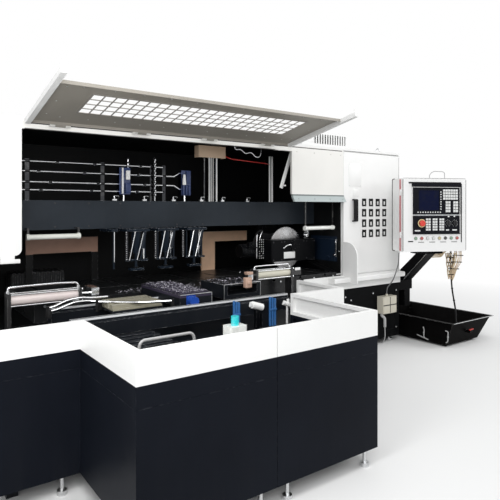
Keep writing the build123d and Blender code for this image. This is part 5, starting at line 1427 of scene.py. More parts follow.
add_rod(spines, (-1.305, 0.69, 1.94), (-1.305, 0.69, 2.031), 0.005, 12)
hanging_line = (
    (-0.33, 2.207), (-0.325, 2.142), (-0.262, 2.158), (-0.205, 2.112),
    (-0.13, 2.135), (-0.075, 2.085), (-0.019, 2.091), (0.0, 2.207),
)
add_pipe(spines, [(x, 0.4, z) for x, z in hanging_line], 0.006, 0.03)
finish_shape(spines, "manifold spines", pipe_steel)
post_strips = start_shape()
for x, wide in ((-0.453, 0.0055), (-0.431, 0.0045), (-0.407, 0.0035), (-0.364, 0.0065)):
    add_rod(post_strips, (x, 0.672, beam_top), (x, 0.672, 2.081), wide, 12)
for x in (0.311, 0.344):
    add_block(post_strips, (x, 0.668, beam_top), (x + 0.015, 0.6802, 2.138), 0.002)
finish_shape(post_strips, "post strips", white_coat)
hood = start_shape()
add_block(hood, (-0.584, 0.655, 2.08), (-0.266, 0.664, 2.198), 0.002)
for x_low, x_high in ((-0.584, -0.576), (-0.274, -0.266)):
    add_block(hood, (x_low, 0.663, 2.08), (x_high, 0.74, 2.198), 0.001)
finish_shape(hood, "lift unit hood", cover_cream)
red_route = [
    (-0.271, 0.67, 2.11), (-0.245, 0.6, 2.074), (0.24, 0.6, 2.048), (0.318, 0.674, 2.046)
]
tube_piece("red air pipe", valve_red, [red_route], 0.0045, reach=0.05)

# %% [markdown]
# A flat bar leans from the beam to the roof and keeps the post from swinging. It
# is built upright round its own middle and turned by one matrix, as a fitter would
# cut it straight and bolt it on at a slant.

# %% Slanted brace
brace_high, brace_low = Vector((0.319, 0.3, 2.175)), Vector((0.172, 0.3, 1.779))
brace_middle = Vector((0.2455, 0.3, 1.977))
brace_rise = Vector((0.3482, 0, 0.9374))  # per metre along the bar
slant = (brace_low - brace_high).normalized()
brace_turn = Matrix.Rotation(math.atan2(-slant.x, -slant.z), 4, "Y")
brace = start_shape()
add_block(
    brace, (-0.02, -0.004, -0.211), (0.02, 0.004, 0.211), 0.002,
    Matrix.Translation(brace_middle) @ brace_turn,
)
for share in (-0.19, -0.15, -0.11, 0.12):
    at = brace_middle + brace_rise * share
    add_rod(brace, (at.x, 0.297, at.z), (at.x, 0.288, at.z), 0.01, 6)
for share in (0.06, 0.94):
    at = brace_high.lerp(brace_low, share)
    add_rod(brace, (at.x, 0.2401, at.z), (at.x, 0.297, at.z), 0.008, 12)
finish_shape(brace, "slanted brace", white_coat)

# %% [markdown]
# ## Hold-downs, saw head and blade guard
# The three hold-downs are cast plates on twin rods with a slanted air cylinder in
# front of each. Black bellows and bright rods show between plate and bridge; the
# saw head carries a motor, its pipes and a coil spring.

# %% Hold-down rods
unit_centres = (-1.335, -1.053, -0.76)
bellows_x = (-1.439, -1.171, -0.898)
for number, x in enumerate(bellows_x, 1):
    beads(
        "hold-down bellows %d" % number, (x, 0.4, 1.15), (x, 0.4, 1.362), 14, 0.016, 0.013,
        dark_steel,
    )
bright_rods = start_shape()
for x in (-1.266, -1.004, -0.712):
    add_rod(bright_rods, (x, 0.44, 1.1355), (x, 0.44, 1.3745), 0.009, 16)
    add_ring(bright_rods, (x, 0.44, 1.32), (x, 0.44, 1.345), 0.014, 0.009, 16)
for x in bellows_x:
    add_rod(bright_rods, (x, 0.4, 1.134), (x, 0.4, 1.3745), 0.0065, 12)
for unit in unit_centres:
    for y, dx_top, dx_low, wide in (
        (0.392, 0.052, -0.012, 0.0038), (0.388, -0.03, -0.083, 0.0045)
    ):
        add_rod(bright_rods, (unit + dx_top, y, 1.3748), (unit + dx_low, y, 1.13), wide, 10)
add_rod(bright_rods, (-1.536, 0.426, 1.118), (-1.536, 0.426, 1.3748), 0.0042, 10)
finish_shape(bright_rods, "hold-down rods", bright_steel)
screws(
    "hold-down screws", "hold_down_guides",
    [
        (unit + dx, y, 1.6)
        for unit in unit_centres
        for dx in (-0.075, 0.075)
        for y in (0.405, 0.47, 0.56, 0.64)
    ],
    to_floor, radius=0.009, height=0.006, material=dark_steel,
)
for number, unit in enumerate(unit_centres, 1):
    foot = "hold_down_foot_%d" % number
    sole = start_shape()
    add_block(sole, (unit - 0.056, 0.4085, 1.0352), (unit + 0.056, 0.4715, 1.0392), 0.001)
    add_ring(sole, (unit, 0.44, 1.0572), (unit, 0.44, 1.0672), 0.022, 0.0125, 20)
    finish_shape(sole, "foot sole %d" % number, machinery_coat, foot)

# %% [markdown]
# The motor sheds its heat through a ring of fins, cast in one with its shell. Here
# they are thin discs on the motor's axis. All of these pieces ride on the saw head,
# so they lift and travel with it.

# %% Motor pieces
beads(
    "motor fins", (-0.02, 0.726, 1.12), (0.15, 0.726, 1.12), 12, 0.0735, 0.006,
    machinery_coat, "saw_head",
)
motor = start_shape()
add_rod(motor, (-0.0475, 0.726, 1.12), (-0.03, 0.726, 1.12), 0.062, 28, 0.004)
add_block(motor, (0.02, 0.64, 1.15), (0.11, 0.69, 1.215), 0.005)
add_rod(motor, (0.065, 0.648, 1.182), (0.065, 0.624, 1.182), 0.012, 14)
finish_shape(motor, "motor end and terminal box", machinery_coat, "saw_head")
motor_pipes = start_shape()
for wide, route in (
    (0.008, (
        (0.065, 0.626, 1.182), (0.065, 0.62, 1.24), (0.12, 0.622, 1.33),
        (0.205, 0.64, 1.34), (0.23, 0.7, 1.285),
    )),
    (0.007, (
        (0.09, 0.64, 1.16), (0.14, 0.622, 1.15), (0.17, 0.622, 1.08), (0.235, 0.64, 1.06),
    )),
):
    add_pipe(motor_pipes, route, wide, 0.04)
finish_shape(motor_pipes, "motor pipes", hose_rubber, "saw_head")
side_rod = start_shape()
add_block(side_rod, (0.109, 0.632, 1.036), (0.121, 0.64, 1.298), 0.002)
add_rod(side_rod, (0.115, 0.638, 1.27), (0.115, 0.7, 1.215), 0.006, 12)
side_pipe = [
    (0.15, 0.63, 1.24), (0.158, 0.626, 1.29), (0.19, 0.63, 1.335), (0.245, 0.7, 1.29)
]
add_pipe(side_rod, side_pipe, 0.005, 0.04)
finish_shape(side_rod, "motor side rod", bright_steel, "saw_head")
for number, x in enumerate((0.15, 0.176, 0.2), 1):
    beads(
        "motor cable chain %d" % number, (x, 0.632, 1.04), (x, 0.632, 1.235), 9, 0.0062, 0.011,
        zinc_steel, body="saw_head",
    )

# %% [markdown]
# A coil spring takes the head's weight off the lift. The bright arc over the blade is a painted
# highlight, built as a bent bar with both ends welded to the head. A bright strip at the cabinet's
# side, where the travel ends, is a painted highlight line, with two short knobs beside it.

# %% Saw head front
lift_spring = {"At": (0.765, 0.57, 1.2365), "Turns": 6.5, "Radius": 0.032, "Height": 0.108}
lift_spring["Wire"] = 0.0052
grow("lift spring", coil, lift_spring, bright_steel, "saw_head")
arc_turns = [math.radians(30 + 10 * k) for k in range(13)]
arc = [(0.452 + 0.088 * math.cos(a), 0.492, 1.118 + 0.062 * math.sin(a)) for a in arc_turns]
highlight_arc = start_shape()
add_tube(highlight_arc, arc, 0.0085, 12)
for foot in (arc[0], arc[-1]):
    add_rod(highlight_arc, foot, (foot[0], 0.5003, foot[2]), 0.0085, 12)
finish_shape(highlight_arc, "bright highlight arc", bright_steel, "saw_head")
head_plate = start_shape()
add_block(head_plate, (0.375, 0.4965, 1.034), (0.53, 0.5001, 1.104), 0.001)
for x in (0.382, 0.523):
    for z in (1.041, 1.097):
        add_rod(head_plate, (x, 0.497, z), (x, 0.495, z), 0.0035, 12)
finish_shape(head_plate, "blank head plate", white_coat, "saw_head")
# The upright strip is a painted highlight line; the two short rods beside it are knobs.
side_highlight_strip = start_shape()
add_block(side_highlight_strip, (0.944, 0.286, 1.035), (0.9545, 0.298, 1.212), 0.002)
add_rod(side_highlight_strip, (0.949, 0.292, 1.212), (0.949, 0.292, 1.232), 0.004, 12)
add_rod(side_highlight_strip, (0.952, 0.312, 1.06), (0.932, 0.312, 1.06), 0.012, 16)
add_rod(side_highlight_strip, (0.95, 0.255, 1.1), (0.969, 0.255, 1.1), 0.008, 16)
finish_shape(side_highlight_strip, "side highlight strip", bright_steel)
head_rows = spots((0.235, 0.345, 0.7, 0.815), 0.3, (1.025, 1.212))
screws(
    "saw head screws", "saw_head", head_rows + spots((0.385, 0.66), 0.3, (1.214,)),
    to_back, "saw_head", radius=0.008, material=dark_steel,
)

# %% [markdown]
# ## Table, clamps and feed area
# Each clamp is an air cylinder: a pale barrel between two square plates on four
# tie rods. Bent pipes lead along the tray, blue tube guides stand at the front
# beam and small fittings lie between them, wet with cutting oil.

# %% Clamp cylinders
clamp_z = 0.955
left_clamp_y, right_clamp_y = -0.01, 0.08
tie_offset = 0.038
end_plate = start_shape()
add_block(end_plate, (0.125, 0.0245, 0.972), (0.19, 0.0322, 0.998), 0.002)
for x in (0.134, 0.181):
    add_rod(end_plate, (x, 0.025, 0.985), (x, 0.0215, 0.985), 0.0045, 12)
finish_shape(end_plate, "clamp end plate", white_coat)
ties = start_shape()
for x_low, x_high, middle_y in ((-2.459, -1.965, left_clamp_y), (-0.336, 0.105, right_clamp_y)):
    for y in (middle_y - tie_offset, middle_y + tie_offset):
        for z in (clamp_z - tie_offset, clamp_z + tie_offset):
            add_rod(ties, (x_low, y, z), (x_high, y, z), 0.0055, 12)
            add_rod(ties, (x_high, y, z), (x_high + 0.008, y, z), 0.01, 6, 0.001)
finish_shape(ties, "clamp tie rods", bright_steel)
over = start_shape()
for y, wide, route in (
    (left_clamp_y, 0.007, (
        (-2.447, 1.003), (-2.447, 1.039), (-2.346, 1.043),
        (-2.127, 1.045), (-1.985, 1.038), (-1.976, 1.003),
    )),
    (right_clamp_y, 0.006, (
        (-0.326, 1.003), (-0.326, 1.033), (-0.18, 1.036), (0.08, 1.034), (0.094, 1.003),
    )),
):
    add_pipe(over, [(x, y, z) for x, z in route], wide, 0.03)
for x, y in (
    (-2.447, left_clamp_y), (-1.976, left_clamp_y), (-0.326, right_clamp_y), (0.094, right_clamp_y)
):
    add_rod(over, (x, y, 1.0025), (x, y, 1.018), 0.011, 6, 0.001)
finish_shape(over, "clamp pipes", pipe_steel)
for side, x, y, aim in (
    ("left", -1.6, left_clamp_y, (-1, 0, 0)),
    ("right", -0.7, right_clamp_y, (1, 0, 0)),
):
    starts = [(x, y + dy, clamp_z + dz) for dy in (-0.055, 0.055) for dz in (-0.03, 0.03)]
    screws(side + " jaw screws", "clamp_rod_" + side, starts, aim, "clamp_rod_" + side)
screws(
    "table screws", "work_table",
    spots((-2.15, -1.72, -1.25, -0.8, -0.35, 0.1, 0.55, 0.83), 0.1, (0.845,)),
    to_back, radius=0.01, height=0.007,
)

# %% [markdown]
# The bent pipes lie in the tray on short rubber elbows. The corners of the feeder and the plates
# are rubbed bright and carry a painted highlight as well. A thin round strip along each edge shows
# both better than a texture could from this far.

# %% Feed pipes, worn edges and painted highlights
tray_top = 0.868
feed_routes = (
    (
        (-2.262, -0.287, 0.926), (-2.215, -0.262, 0.928), (-2.11, -0.2, 0.952),
        (-2.0, -0.15, 0.95), (-1.93, -0.15, 0.938), (-1.8, -0.14, 0.935),
    ),
    (
        (-2.262, -0.33, 0.912), (-2.205, -0.3, 0.914), (-2.08, -0.235, 0.938),
        (-1.965, -0.215, 0.932), (-1.9, -0.25, 0.925),
    ),
    (
        (-1.94, -0.3, 0.936), (-1.86, -0.33, 0.93),
        (-1.7, -0.47, 0.93), (-1.5, -0.56, 0.934),
    ),
)
tube_piece("bent feed pipes", bright_steel, feed_routes, 0.0095, reach=0.05)
elbows = start_shape()
for route in feed_routes:
    for x, y, z in (route[0], route[-1]):
        add_rod(elbows, (x, y, tray_top), (x, y, z + 0.012), 0.012, 14)
finish_shape(elbows, "feed pipe elbows", hose_rubber)
worn_and_highlight_edges = (
    ((-0.985, -0.4215, 0.9805), (-0.635, -0.4215, 0.9805)),
    ((-0.985, -0.4215, 0.8705), (-0.985, -0.4215, 0.9805)),
    ((-0.635, -0.4215, 0.8705), (-0.635, -0.4215, 0.9805)),
    ((-0.985, -0.4215, 0.9805), (-0.985, -0.07, 0.9805)),
    ((-1.42, -0.5215, 0.956), (-1.16, -0.5215, 0.956)),
    ((-1.159, -0.52, 0.956), (-1.159, 0.14, 0.956)),
    ((-1.159, -0.5215, 0.8705), (-1.159, -0.5215, 0.956)),
)
tube_piece("worn and highlight edge strips", zinc_steel, worn_and_highlight_edges, 0.0028, 8)

# %% [markdown]
# Between the guard and the feed rails stand plastic tube guides, a small cylinder
# on a stand, an end block and two hand valves. They are turned and milled parts, so
# each is a few rods and blocks that meet.

# %% Tray fittings
tray_y = -0.655
blue = start_shape()
for x_low, x_high, top in ((-1.061, -0.999, 0.899), (-0.728, -0.66, 0.895)):
    for k in range(3):
        x = x_low + 0.01 + k * (x_high - x_low - 0.02) / 2
        add_rod(blue, (x, tray_y, 0.671), (x, tray_y, top - 0.008 * k), 0.0095, 14)
    add_block(blue, (x_low, -0.668, 0.79), (x_high, -0.642, 0.804), 0.002)
finish_shape(blue, "blue tube guides", blue_plastic)
pale = start_shape()
add_rod(pale, (-0.9, -0.665, 0.856), (-0.8, -0.665, 0.826), 0.027, 24, 0.004)
add_rod(pale, (-0.905, -0.665, 0.8575), (-0.912, -0.665, 0.8596), 0.02, 20, 0.001)
finish_shape(pale, "pale cylinder", white_coat)
stand = start_shape()
add_block(stand, (-0.868, -0.68, 0.664), (-0.836, -0.65, 0.822), 0.003)
add_block(stand, (-0.885, -0.695, 0.6605), (-0.819, -0.64, 0.672), 0.002)
finish_shape(stand, "cylinder stand", machinery_coat)
tan_block = start_shape()
add_block(tan_block, (-0.808, -0.465, 0.946), (-0.75, -0.424, 1.026), 0.004)
add_block(tan_block, (-0.796, -0.43, 0.95), (-0.762, -0.4198, 0.976), 0.001)
add_rod(tan_block, (-0.779, -0.46, 0.986), (-0.779, -0.472, 0.986), 0.014, 6)
add_block(tan_block, (-0.513, -0.075, 0.985), (-0.452, -0.02, 1.01), 0.004)
finish_shape(tan_block, "tan end block", tan_coat)
hand_valves = start_shape()
for x, z in ((-0.549, 0.822), (-0.414, 0.839)):
    add_rod(hand_valves, (x, tray_y, 0.668), (x, tray_y, z - 0.015), 0.009, 12)
    low, high = (x - 0.04, tray_y, z + 0.016), (x + 0.036, tray_y, z - 0.014)
    add_rod(hand_valves, low, high, 0.019, 16, 0.002)
    add_rod(hand_valves, (x, -0.684, z), (x, -0.65, z), 0.014, 14)
    add_rod(hand_valves, (x + 0.01, tray_y, z + 0.04), (x + 0.01, tray_y, z), 0.012, 6)
finish_shape(hand_valves, "tray fittings", white_coat)

# %% [markdown]
# The feeder's top is ribbed, so that plates slide and don't stick. Chips from the
# blade lie on whatever is flat, thick on the feeder and thin on the table. The
# spread is random with a fixed seed, and so comes out the same at each run.

# %% Feeder ribs, chips and pump
feeder_ribs = {
    "Start": (-1.412, -0.505, 0.9555), "End": (-1.412, 0.125, 0.9555), "Count": 22,
    "Width": 0.006, "Height": 0.01, "Thickness": 0.24, "Corner": 0.002,
    "Turn": (0, math.radians(90), 0),
}
grow("feeder ribs", rib_row, feeder_ribs, dark_steel)
for number, (centre, size_x, size_y, density) in enumerate(
    (
        ((-1.29, -0.19, 0.969), 0.23, 0.62, 2600.0),
        ((-0.81, -0.25, 0.9815), 0.33, 0.31, 900.0),
        ((-0.9, 0.33, 0.8815), 1.3, 0.18, 900.0),
        ((-1.25, -0.35, 0.873), 0.18, 0.12, 1500.0),
        ((-0.88, -0.7, 0.6625), 0.38, 0.1, 1500.0),
    ),
    1,
):
    values = {"Centre": centre, "Size X": size_x, "Size Y": size_y, "Density": density}
    values["Seed"] = number + 4
    grow("metal chips %d" % number, chips, values, chip_steel)
beads(
    "pump fins", (-2.06, -1.42, 0.826), (-1.9, -1.42, 0.826), 14, 0.066, 0.004,
    handle_plastic,
)
pump_front = start_shape()
add_rod(pump_front, (-1.574, -1.486, 0.8), (-1.574, -1.492, 0.8), 0.02, 20)
add_block(pump_front, (-1.612, -1.4935, 0.7), (-1.604, -1.479, 0.905), 0.001)
finish_shape(pump_front, "lubricator sight glass", dark_steel)

# %% [markdown]
# ## Cords
# Two flexible lines leave the control box: a grey cable down to the junction box
# and a black hose to the coolant tank. Each is one smooth spline on the route that
# the CAD tube follows, so it hangs as a real line does, with no corner in it.

# %% Cords
def cord_line(name, points, radius, material):
    """A smooth line through the route's control points, as a round curve."""
    curve = bpy.data.curves.new(name, "CURVE")
    curve.dimensions = "3D"
    spline = curve.splines.new("NURBS")
    spline.points.add(len(points) - 1)
    for point, at in zip(spline.points, points):
        point.co = (*at, 1)
    spline.order_u = 3
    spline.use_endpoint_u = True
    curve.resolution_u = 12
    curve.bevel_depth = radius
    curve.bevel_resolution = 5
    curve.use_fill_caps = True
    curve.materials.append(material)
    print(name, "control points:", len(points))
    return new_object(name, curve)


box_right = Vector((math.cos(box_turn), math.sin(box_turn), 0))
box_back = Vector((-math.sin(box_turn), math.cos(box_turn), 0))
box_matrix = Matrix.Translation(Vector(box_corner)) @ Matrix.Rotation(box_turn, 4, "Z")


def on_box(x, y, z):
    """A point given from the control box door's front, lower middle."""
    return box_matrix @ Vector((x, y, z))


cable_start = on_box(-0.33, 0.2, -0.024)
cable_end = Vector((1.637, 0.1575, 0.581))
cable_points = [
    cable_start,
    cable_start + Vector((0, 0, -0.105)),
    Vector((1.657, 0.036, 0.855)),
    Vector((1.645, 0.066, 0.757)),
    Vector((1.64, 0.118, 0.69)),
    cable_end + Vector((0, 0, 0.062)),
    cable_end,
]
control_cable = cord_line("control_cable_line", cable_points, 0.006, cable_rubber)
hose_start = on_box(0.3, 0.17, -0.024)
hose_end = Vector((2.103, -0.432, 0.282))
hose_points = [
    hose_start,
    hose_start + Vector((0, 0, -0.143)),
    Vector((2.21, -0.302, 0.78)),
    Vector((2.185, -0.33, 0.64)),
    Vector((2.14, -0.388, 0.505)),
    hose_end + Vector((0, 0, 0.115)),
    hose_end,
]
panel_hose = cord_line("panel_hose_line", hose_points, 0.009, hose_rubber)

# %% [markdown]
# A loom of tan wires is tied round the upper part of the hose with black ties. Its
# strands are laid round the hose's own middle line, each a little out of step with
# its neighbour, as wires lie that were gathered by hand.

# %% Wire loom on the hose
def line_points(line):
    """The middle line of a cord, as points in order."""
    depth = line.data.bevel_depth
    line.data.bevel_depth = 0
    line.data.use_fill_caps = False
    bpy.context.view_layer.update()
    evaluated = line.evaluated_get(bpy.context.evaluated_depsgraph_get())
    bare = bpy.data.meshes.new_from_object(evaluated)
    points = [vertex.co.copy() for vertex in bare.vertices]
    bpy.data.meshes.remove(bare)
    line.data.bevel_depth = depth
    line.data.use_fill_caps = True
    bpy.context.view_layer.update()
    return points


hose_run = line_points(panel_hose)
reach = [0.0]
for first, second in zip(hose_run, hose_run[1:]):
    reach.append(reach[-1] + (second - first).length)
print("hose length:", round(reach[-1], 3))


def along_hose(distance):
    """A point on the hose's middle line at a distance from the box."""
    for k in range(1, len(reach)):
        if reach[k] >= distance:
            share = (distance - reach[k - 1]) / (reach[k] - reach[k - 1])
            return hose_run[k - 1].lerp(hose_run[k], share)
    return hose_run[-1]


strand_count = 9
strand_steps = 14
loom, loom_ties = start_shape(), start_shape()
for strand in range(strand_count):
    points = []
    for step in range(strand_steps + 1):
        share = step / strand_steps
        middle = along_hose(0.012 + 0.3 * share)
        wide = 0.034 - 0.016 * share + 0.006 * math.sin(5.1 * share + strand * 1.9)
        turn = math.tau * strand / strand_count + 1.6 * share
        turn += 0.25 * math.sin(7 * share + strand)
        across = box_right * (wide * 1.45 * math.cos(turn))
        points.append(middle + across + box_back * (wide * math.sin(turn)))
    add_tube(loom, points, 0.0062, 8)
for k in range(6):
    sway = 0.006 * math.sin(2.3 * k)
    side_wire = [
        on_box(0.28 + 0.019 * k, 0.064 + 0.007 * (k % 3), 0.001),
        on_box(0.284 + 0.018 * k + sway, 0.066, -0.06),
        on_box(0.286 + 0.015 * k - sway, 0.07, -0.14),
        on_box(0.262 + 0.012 * k, 0.088, -0.215),
        along_hose(0.285) + box_right * (0.018 + 0.004 * k),
        along_hose(0.33) + box_right * 0.01,
    ]
    add_pipe(loom, side_wire, 0.0042, 0.04, 8)

# %% [markdown]
# Plastic ties hold the loom: flat rings round the hose with a cut end that sticks
# out, and flat loops round the side wires. Under the box a few more wires hang from
# one opening to the next, each a little lower than the one before.

# %% Ties and the wires under the box
tie_front, tie_back = 0.06, 0.094
for z, x_low, x_high in ((-0.052, 0.27, 0.388), (-0.128, 0.266, 0.372), (-0.205, 0.24, 0.336)):
    across = [((x_low, y, z), (x_high, y, z - 0.006)) for y in (tie_front, tie_back)]
    back = [((x, tie_front, z - 0.003), (x, tie_back, z - 0.003)) for x in (x_low, x_high)]
    for run in across + back:
        add_tube(loom_ties, [on_box(*at) for at in run], 0.0034, 8)
for distance, wide in (
    (0.06, 0.052), (0.125, 0.048), (0.19, 0.04), (0.262, 0.034), (0.42, 0.0125), (0.56, 0.0125)
):
    middle = along_hose(distance)
    ahead = (along_hose(distance + 0.01) - middle).normalized()
    inner = max(wide - 0.004, 0.0088)
    add_ring(loom_ties, middle - ahead * 0.004, middle + ahead * 0.004, wide, inner, 20)
    side = ahead.orthogonal().normalized()
    add_tube(loom_ties, [middle + side * (wide - 0.001), middle + side * (wide + 0.022)], 0.0018, 6)
loom_piece = finish_shape(loom, "wire loom", tan_rubber)
ties_piece = finish_shape(loom_ties, "loom ties", hose_rubber)
under_box = start_shape()
for k in range(6):
    x = -0.03 + 0.028 * (k % 3)
    drop = -0.03 - 0.011 * k
    under_wire = [
        on_box(x, 0.12 + 0.018 * k, 0.002),
        on_box(x + 0.01, 0.12 + 0.018 * k, drop),
        on_box(0.11, 0.135 + 0.012 * k, drop - 0.006 * math.sin(k * 2.0)),
        on_box(0.2, 0.14 + 0.01 * k, drop + 0.004),
        on_box(0.236, 0.14 + 0.01 * k, 0.002),
    ]
    add_pipe(under_box, under_wire, 0.006, 0.03, 8)
finish_shape(under_box, "wires under the box", tan_rubber)

# %% [markdown]
# Each line is put on the machine's body and takes the place of the plain CAD tube, which is hidden.
# The table also gives each line's start, its whole length and its width as the photograph shows
# them, and the loom and its ties for the hose; the loop doesn't use these.

for line, node, start, length, width, others in (
    (control_cable, "control_cable", cable_start, 0.525, 0.012, []),
    (panel_hose, "panel_hose", hose_start, 0.822, 0.018, [loom_piece, ties_piece]),
):
    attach(line, "machine")
    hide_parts(node)
print("cords:", control_cable.name, panel_hose.name)

# %% [markdown]
# ## Control box, arm and tank
# The box door closes on a red rubber seal. The stop has its cream ring, the knobs their dials, and
# the keys are bordered by a silver strip; the plates under the buttons stay blank. The arm and the
# tank get painted highlights along their edges, and the junction box gets its edges.

# %% Seals of the control box
box_edge = 0.3862
side_edge = 0.383
block_piece(
    "door seal", seal_rubber,
    [
        ((-side_edge, 0.0424, 0.004), (-0.366, 0.0496, 0.808)),
        ((0.366, 0.0424, 0.004), (side_edge, 0.0496, 0.808)),
        ((-0.366, 0.0424, 0.004), (0.366, 0.0496, 0.02)),
        ((-0.366, 0.0424, 0.792), (0.366, 0.0496, 0.808)),
    ],
    0.001, "control_door", box_matrix,
)
lip_strips = [
    ((-0.3866, 0.0512, 0.01), (-0.3851, 0.064, 0.802)),
    ((-0.3866, 0.0655, 0.01), (-0.3851, 0.08, 0.802)),
]
lip_clips = [
    ((-0.3872, 0.052, 0.04 + 0.118 * k), (-0.3851, 0.079, 0.048 + 0.118 * k)) for k in range(7)
]
block_piece(
    "seal lip", seal_rubber, lip_strips + lip_clips, 0.0005, "machine",
    box_matrix, 1,
)

# %% [markdown]
# The panel is a foil on a flat plate. What stands out from it is a border strip,
# the frame with its blank dashes, and five blank labels, all of them less than
# five millimetres thick. They ride on the door, so they swing out with it.

# %% Panel strips, frame and labels
panel_face = -0.0122
panel_back = -0.0001
strip_front = -0.015
block_piece(
    "silver strips", strip_metal,
    [
        ((-0.28, strip_front, 0.712), (0.303, panel_face, 0.7175)),
        ((0.2975, strip_front, 0.2), (0.303, panel_face, 0.7125)),
        ((-0.28, strip_front, 0.2), (-0.276, panel_face, 0.7125)),
    ],
    0.0006, "control_door", box_matrix, 1,
)
frame_bars = start_shape()
frame_blocks = [
    ((-0.318, -0.0045, 0.755), (0.322, panel_back, 0.772)),
    ((0.32, -0.0045, 0.1), (0.33, panel_back, 0.756)),
    ((-0.324, -0.002, 0.108), (-0.262, panel_back, 0.12)),
]
add_blocks(frame_bars, frame_blocks, 0.0008, box_matrix, 1)
for x in [-0.205 + 0.135 * k for k in range(4)]:
    low, high = (x, -0.0016, 0.102), (x + 0.072, panel_back, 0.108)
    add_block(frame_bars, low, high, 0.0006, box_matrix, 1)
finish_shape(
    frame_bars, "panel border and blank dashes", handle_plastic, "control_door"
)
label_places = (
    (-0.25, -0.185, 0.226), (0.128, 0.166, 0.232), (0.206, 0.262, 0.232),
    (0.15, 0.17, 0.382), (0.222, 0.24, 0.384),
)
block_piece(
    "blank labels", key_plastic,
    [
        ((x_low, -0.0136, z), (x_high, panel_face, z + 0.014))
        for x_low, x_high, z in label_places
    ],
    0.0005, "control_door", box_matrix, 1,
)

# %% [markdown]
# The stop and the knobs are turned parts set in rings. The dial marks round the
# knobs are small dots on a circle, and each push button has a thin metal collar.

# %% Rings, dials and collars
front = -box_back
knob_height = 0.315
dial_radius = 0.036
rings = start_shape()
stop_at = on_box(-0.167, 0, knob_height)
add_ring(rings, stop_at + front * 0.0122, stop_at + front * 0.015, 0.046, 0.0358, 32)
finish_shape(rings, "cream stop ring", cream_plastic, "control_door")
dial_points = []
for centre in (0.149, 0.235):
    for turn in [math.radians(-60 + 30 * k) for k in range(11)]:
        x, z = centre + dial_radius * math.cos(turn), knob_height + dial_radius * math.sin(turn)
        dial_points.append(on_box(x, panel_face, z))
dial_marks = {"Radius": 0.0028, "Height": 0.001, "Aim": tuple(front), "Socket Share": 0.4}
grow(
    "dial marks", screw_heads, dial_marks, key_plastic, "control_door", dial_points
)
collars = start_shape()
for at in [on_box(-0.233 + 0.072 * k, panel_back, 0.148) for k in range(8)]:
    add_ring(collars, at, at + front * 0.003, 0.0215, 0.0178, 24)
finish_shape(collars, "button collars", collar_metal, "control_door")

# %% [markdown]
# On the sides of the box are the door's lock studs and a socket with its plug. Dark lines along the
# door's rim and along the rear cover's edge are painted shade. A thin hoop on top holds the cable
# away from the lid.

# %% Control box fittings
lock_studs = start_shape()
for z in (0.13, 0.65):
    low, high = (-0.3849, 0.004, z - 0.03), (-0.37, 0.0405, z + 0.03)
    add_block(lock_studs, low, high, 0.002, box_matrix)
for z in (0.26, 0.56):
    add_rod(lock_studs, on_box(0.38, 0.022, z), on_box(0.3915, 0.022, z), 0.011, 18)
finish_shape(lock_studs, "door lock studs", box_coat, "control_door")
hoop_route = ((0.02, 0.8121), (0.02, 0.865), (0.07, 0.905), (0.21, 0.9), (0.21, 0.8121))
hoop_runs = [[on_box(x, 0.15, z) for x, z in hoop_route]]
tube_piece("top cable hoop", sleeve_plastic, hoop_runs, 0.0045, 10, reach=0.03)
side_box = start_shape()
add_block(side_box, (0.3849, 0.09, 0.02), (0.403, 0.17, 0.13), 0.004, box_matrix)
add_rod(side_box, on_box(0.402, 0.13, 0.082), on_box(0.409, 0.13, 0.082), 0.024, 20, 0.001)
add_rod(side_box, on_box(0.394, 0.13, 0.022), on_box(0.394, 0.13, 0.006), 0.009, 14)
finish_shape(side_box, "side socket", handle_plastic)
door_shade_runs = [
    (on_box(-0.3827, 0.0023, 0.012), on_box(-0.3827, 0.0023, 0.8)),
    (on_box(0.3827, 0.0023, 0.012), on_box(0.3827, 0.0023, 0.8)),
    (on_box(-0.378, 0.004, 0.8125), on_box(0.378, 0.004, 0.8125)),
]
tube_piece(
    "door edge shade line", handle_plastic, door_shade_runs, 0.0034, 8, "control_door"
)
# A dark line of painted shade along the rear cover's edge.
rear_shade_route = ((0.19, -0.0005), (0.25, -0.0005), (0.25, 0.813), (0.195, 0.813))
rear_shade_runs = [[on_box(x, y, z) for y, z in rear_shade_route] for x in (-box_edge, box_edge)]
tube_piece(
    "rear edge shade line", handle_plastic, rear_shade_runs, 0.0044, 8, reach=0.022
)

# %% [markdown]
# The keys are moulded caps with sloped sides, snapped on in rows. One cap is a
# four sided cone with its tip cut off, and the tree puts a copy on each place.

# %% Key caps
key_pitch_x = 0.031
key_seat = -0.0119
key_caps = new_tree(
    "key caps",
    [
        ("Width", "Float", 0.026),
        ("Height", "Float", 0.024),
        ("Depth", "Float", 0.004),
        ("Turn", "Vector", (0, 0, 0)),
    ],
)


def fill_key_caps(tree):
    """A cut-off square cone of unit size, scaled to Width, Height and Depth."""
    given = place(tree, "NodeGroupInput").outputs
    half_diagonal = math.sqrt(0.5)
    cap = place(
        tree, "GeometryNodeMeshCone", in_Vertices=4,
        in_Radius_Bottom=half_diagonal, in_Radius_Top=half_diagonal * 0.84, in_Depth=1.0,
    )
    squared = place(
        tree, "GeometryNodeTransform", in_Geometry=cap, in_Rotation=(0, 0, math.radians(45))
    )
    sizes = {"in_X": given["Width"], "in_Y": given["Height"], "in_Z": given["Depth"]}
    cap_size = place(tree, "ShaderNodeCombineXYZ", **sizes)
    sized = place(tree, "GeometryNodeTransform", in_Geometry=squared, in_Scale=cap_size)
    copies = copies_on(tree, given["Geometry"], sized, in_Rotation=given["Turn"])
    end_tree(tree, copies, given["Material"])


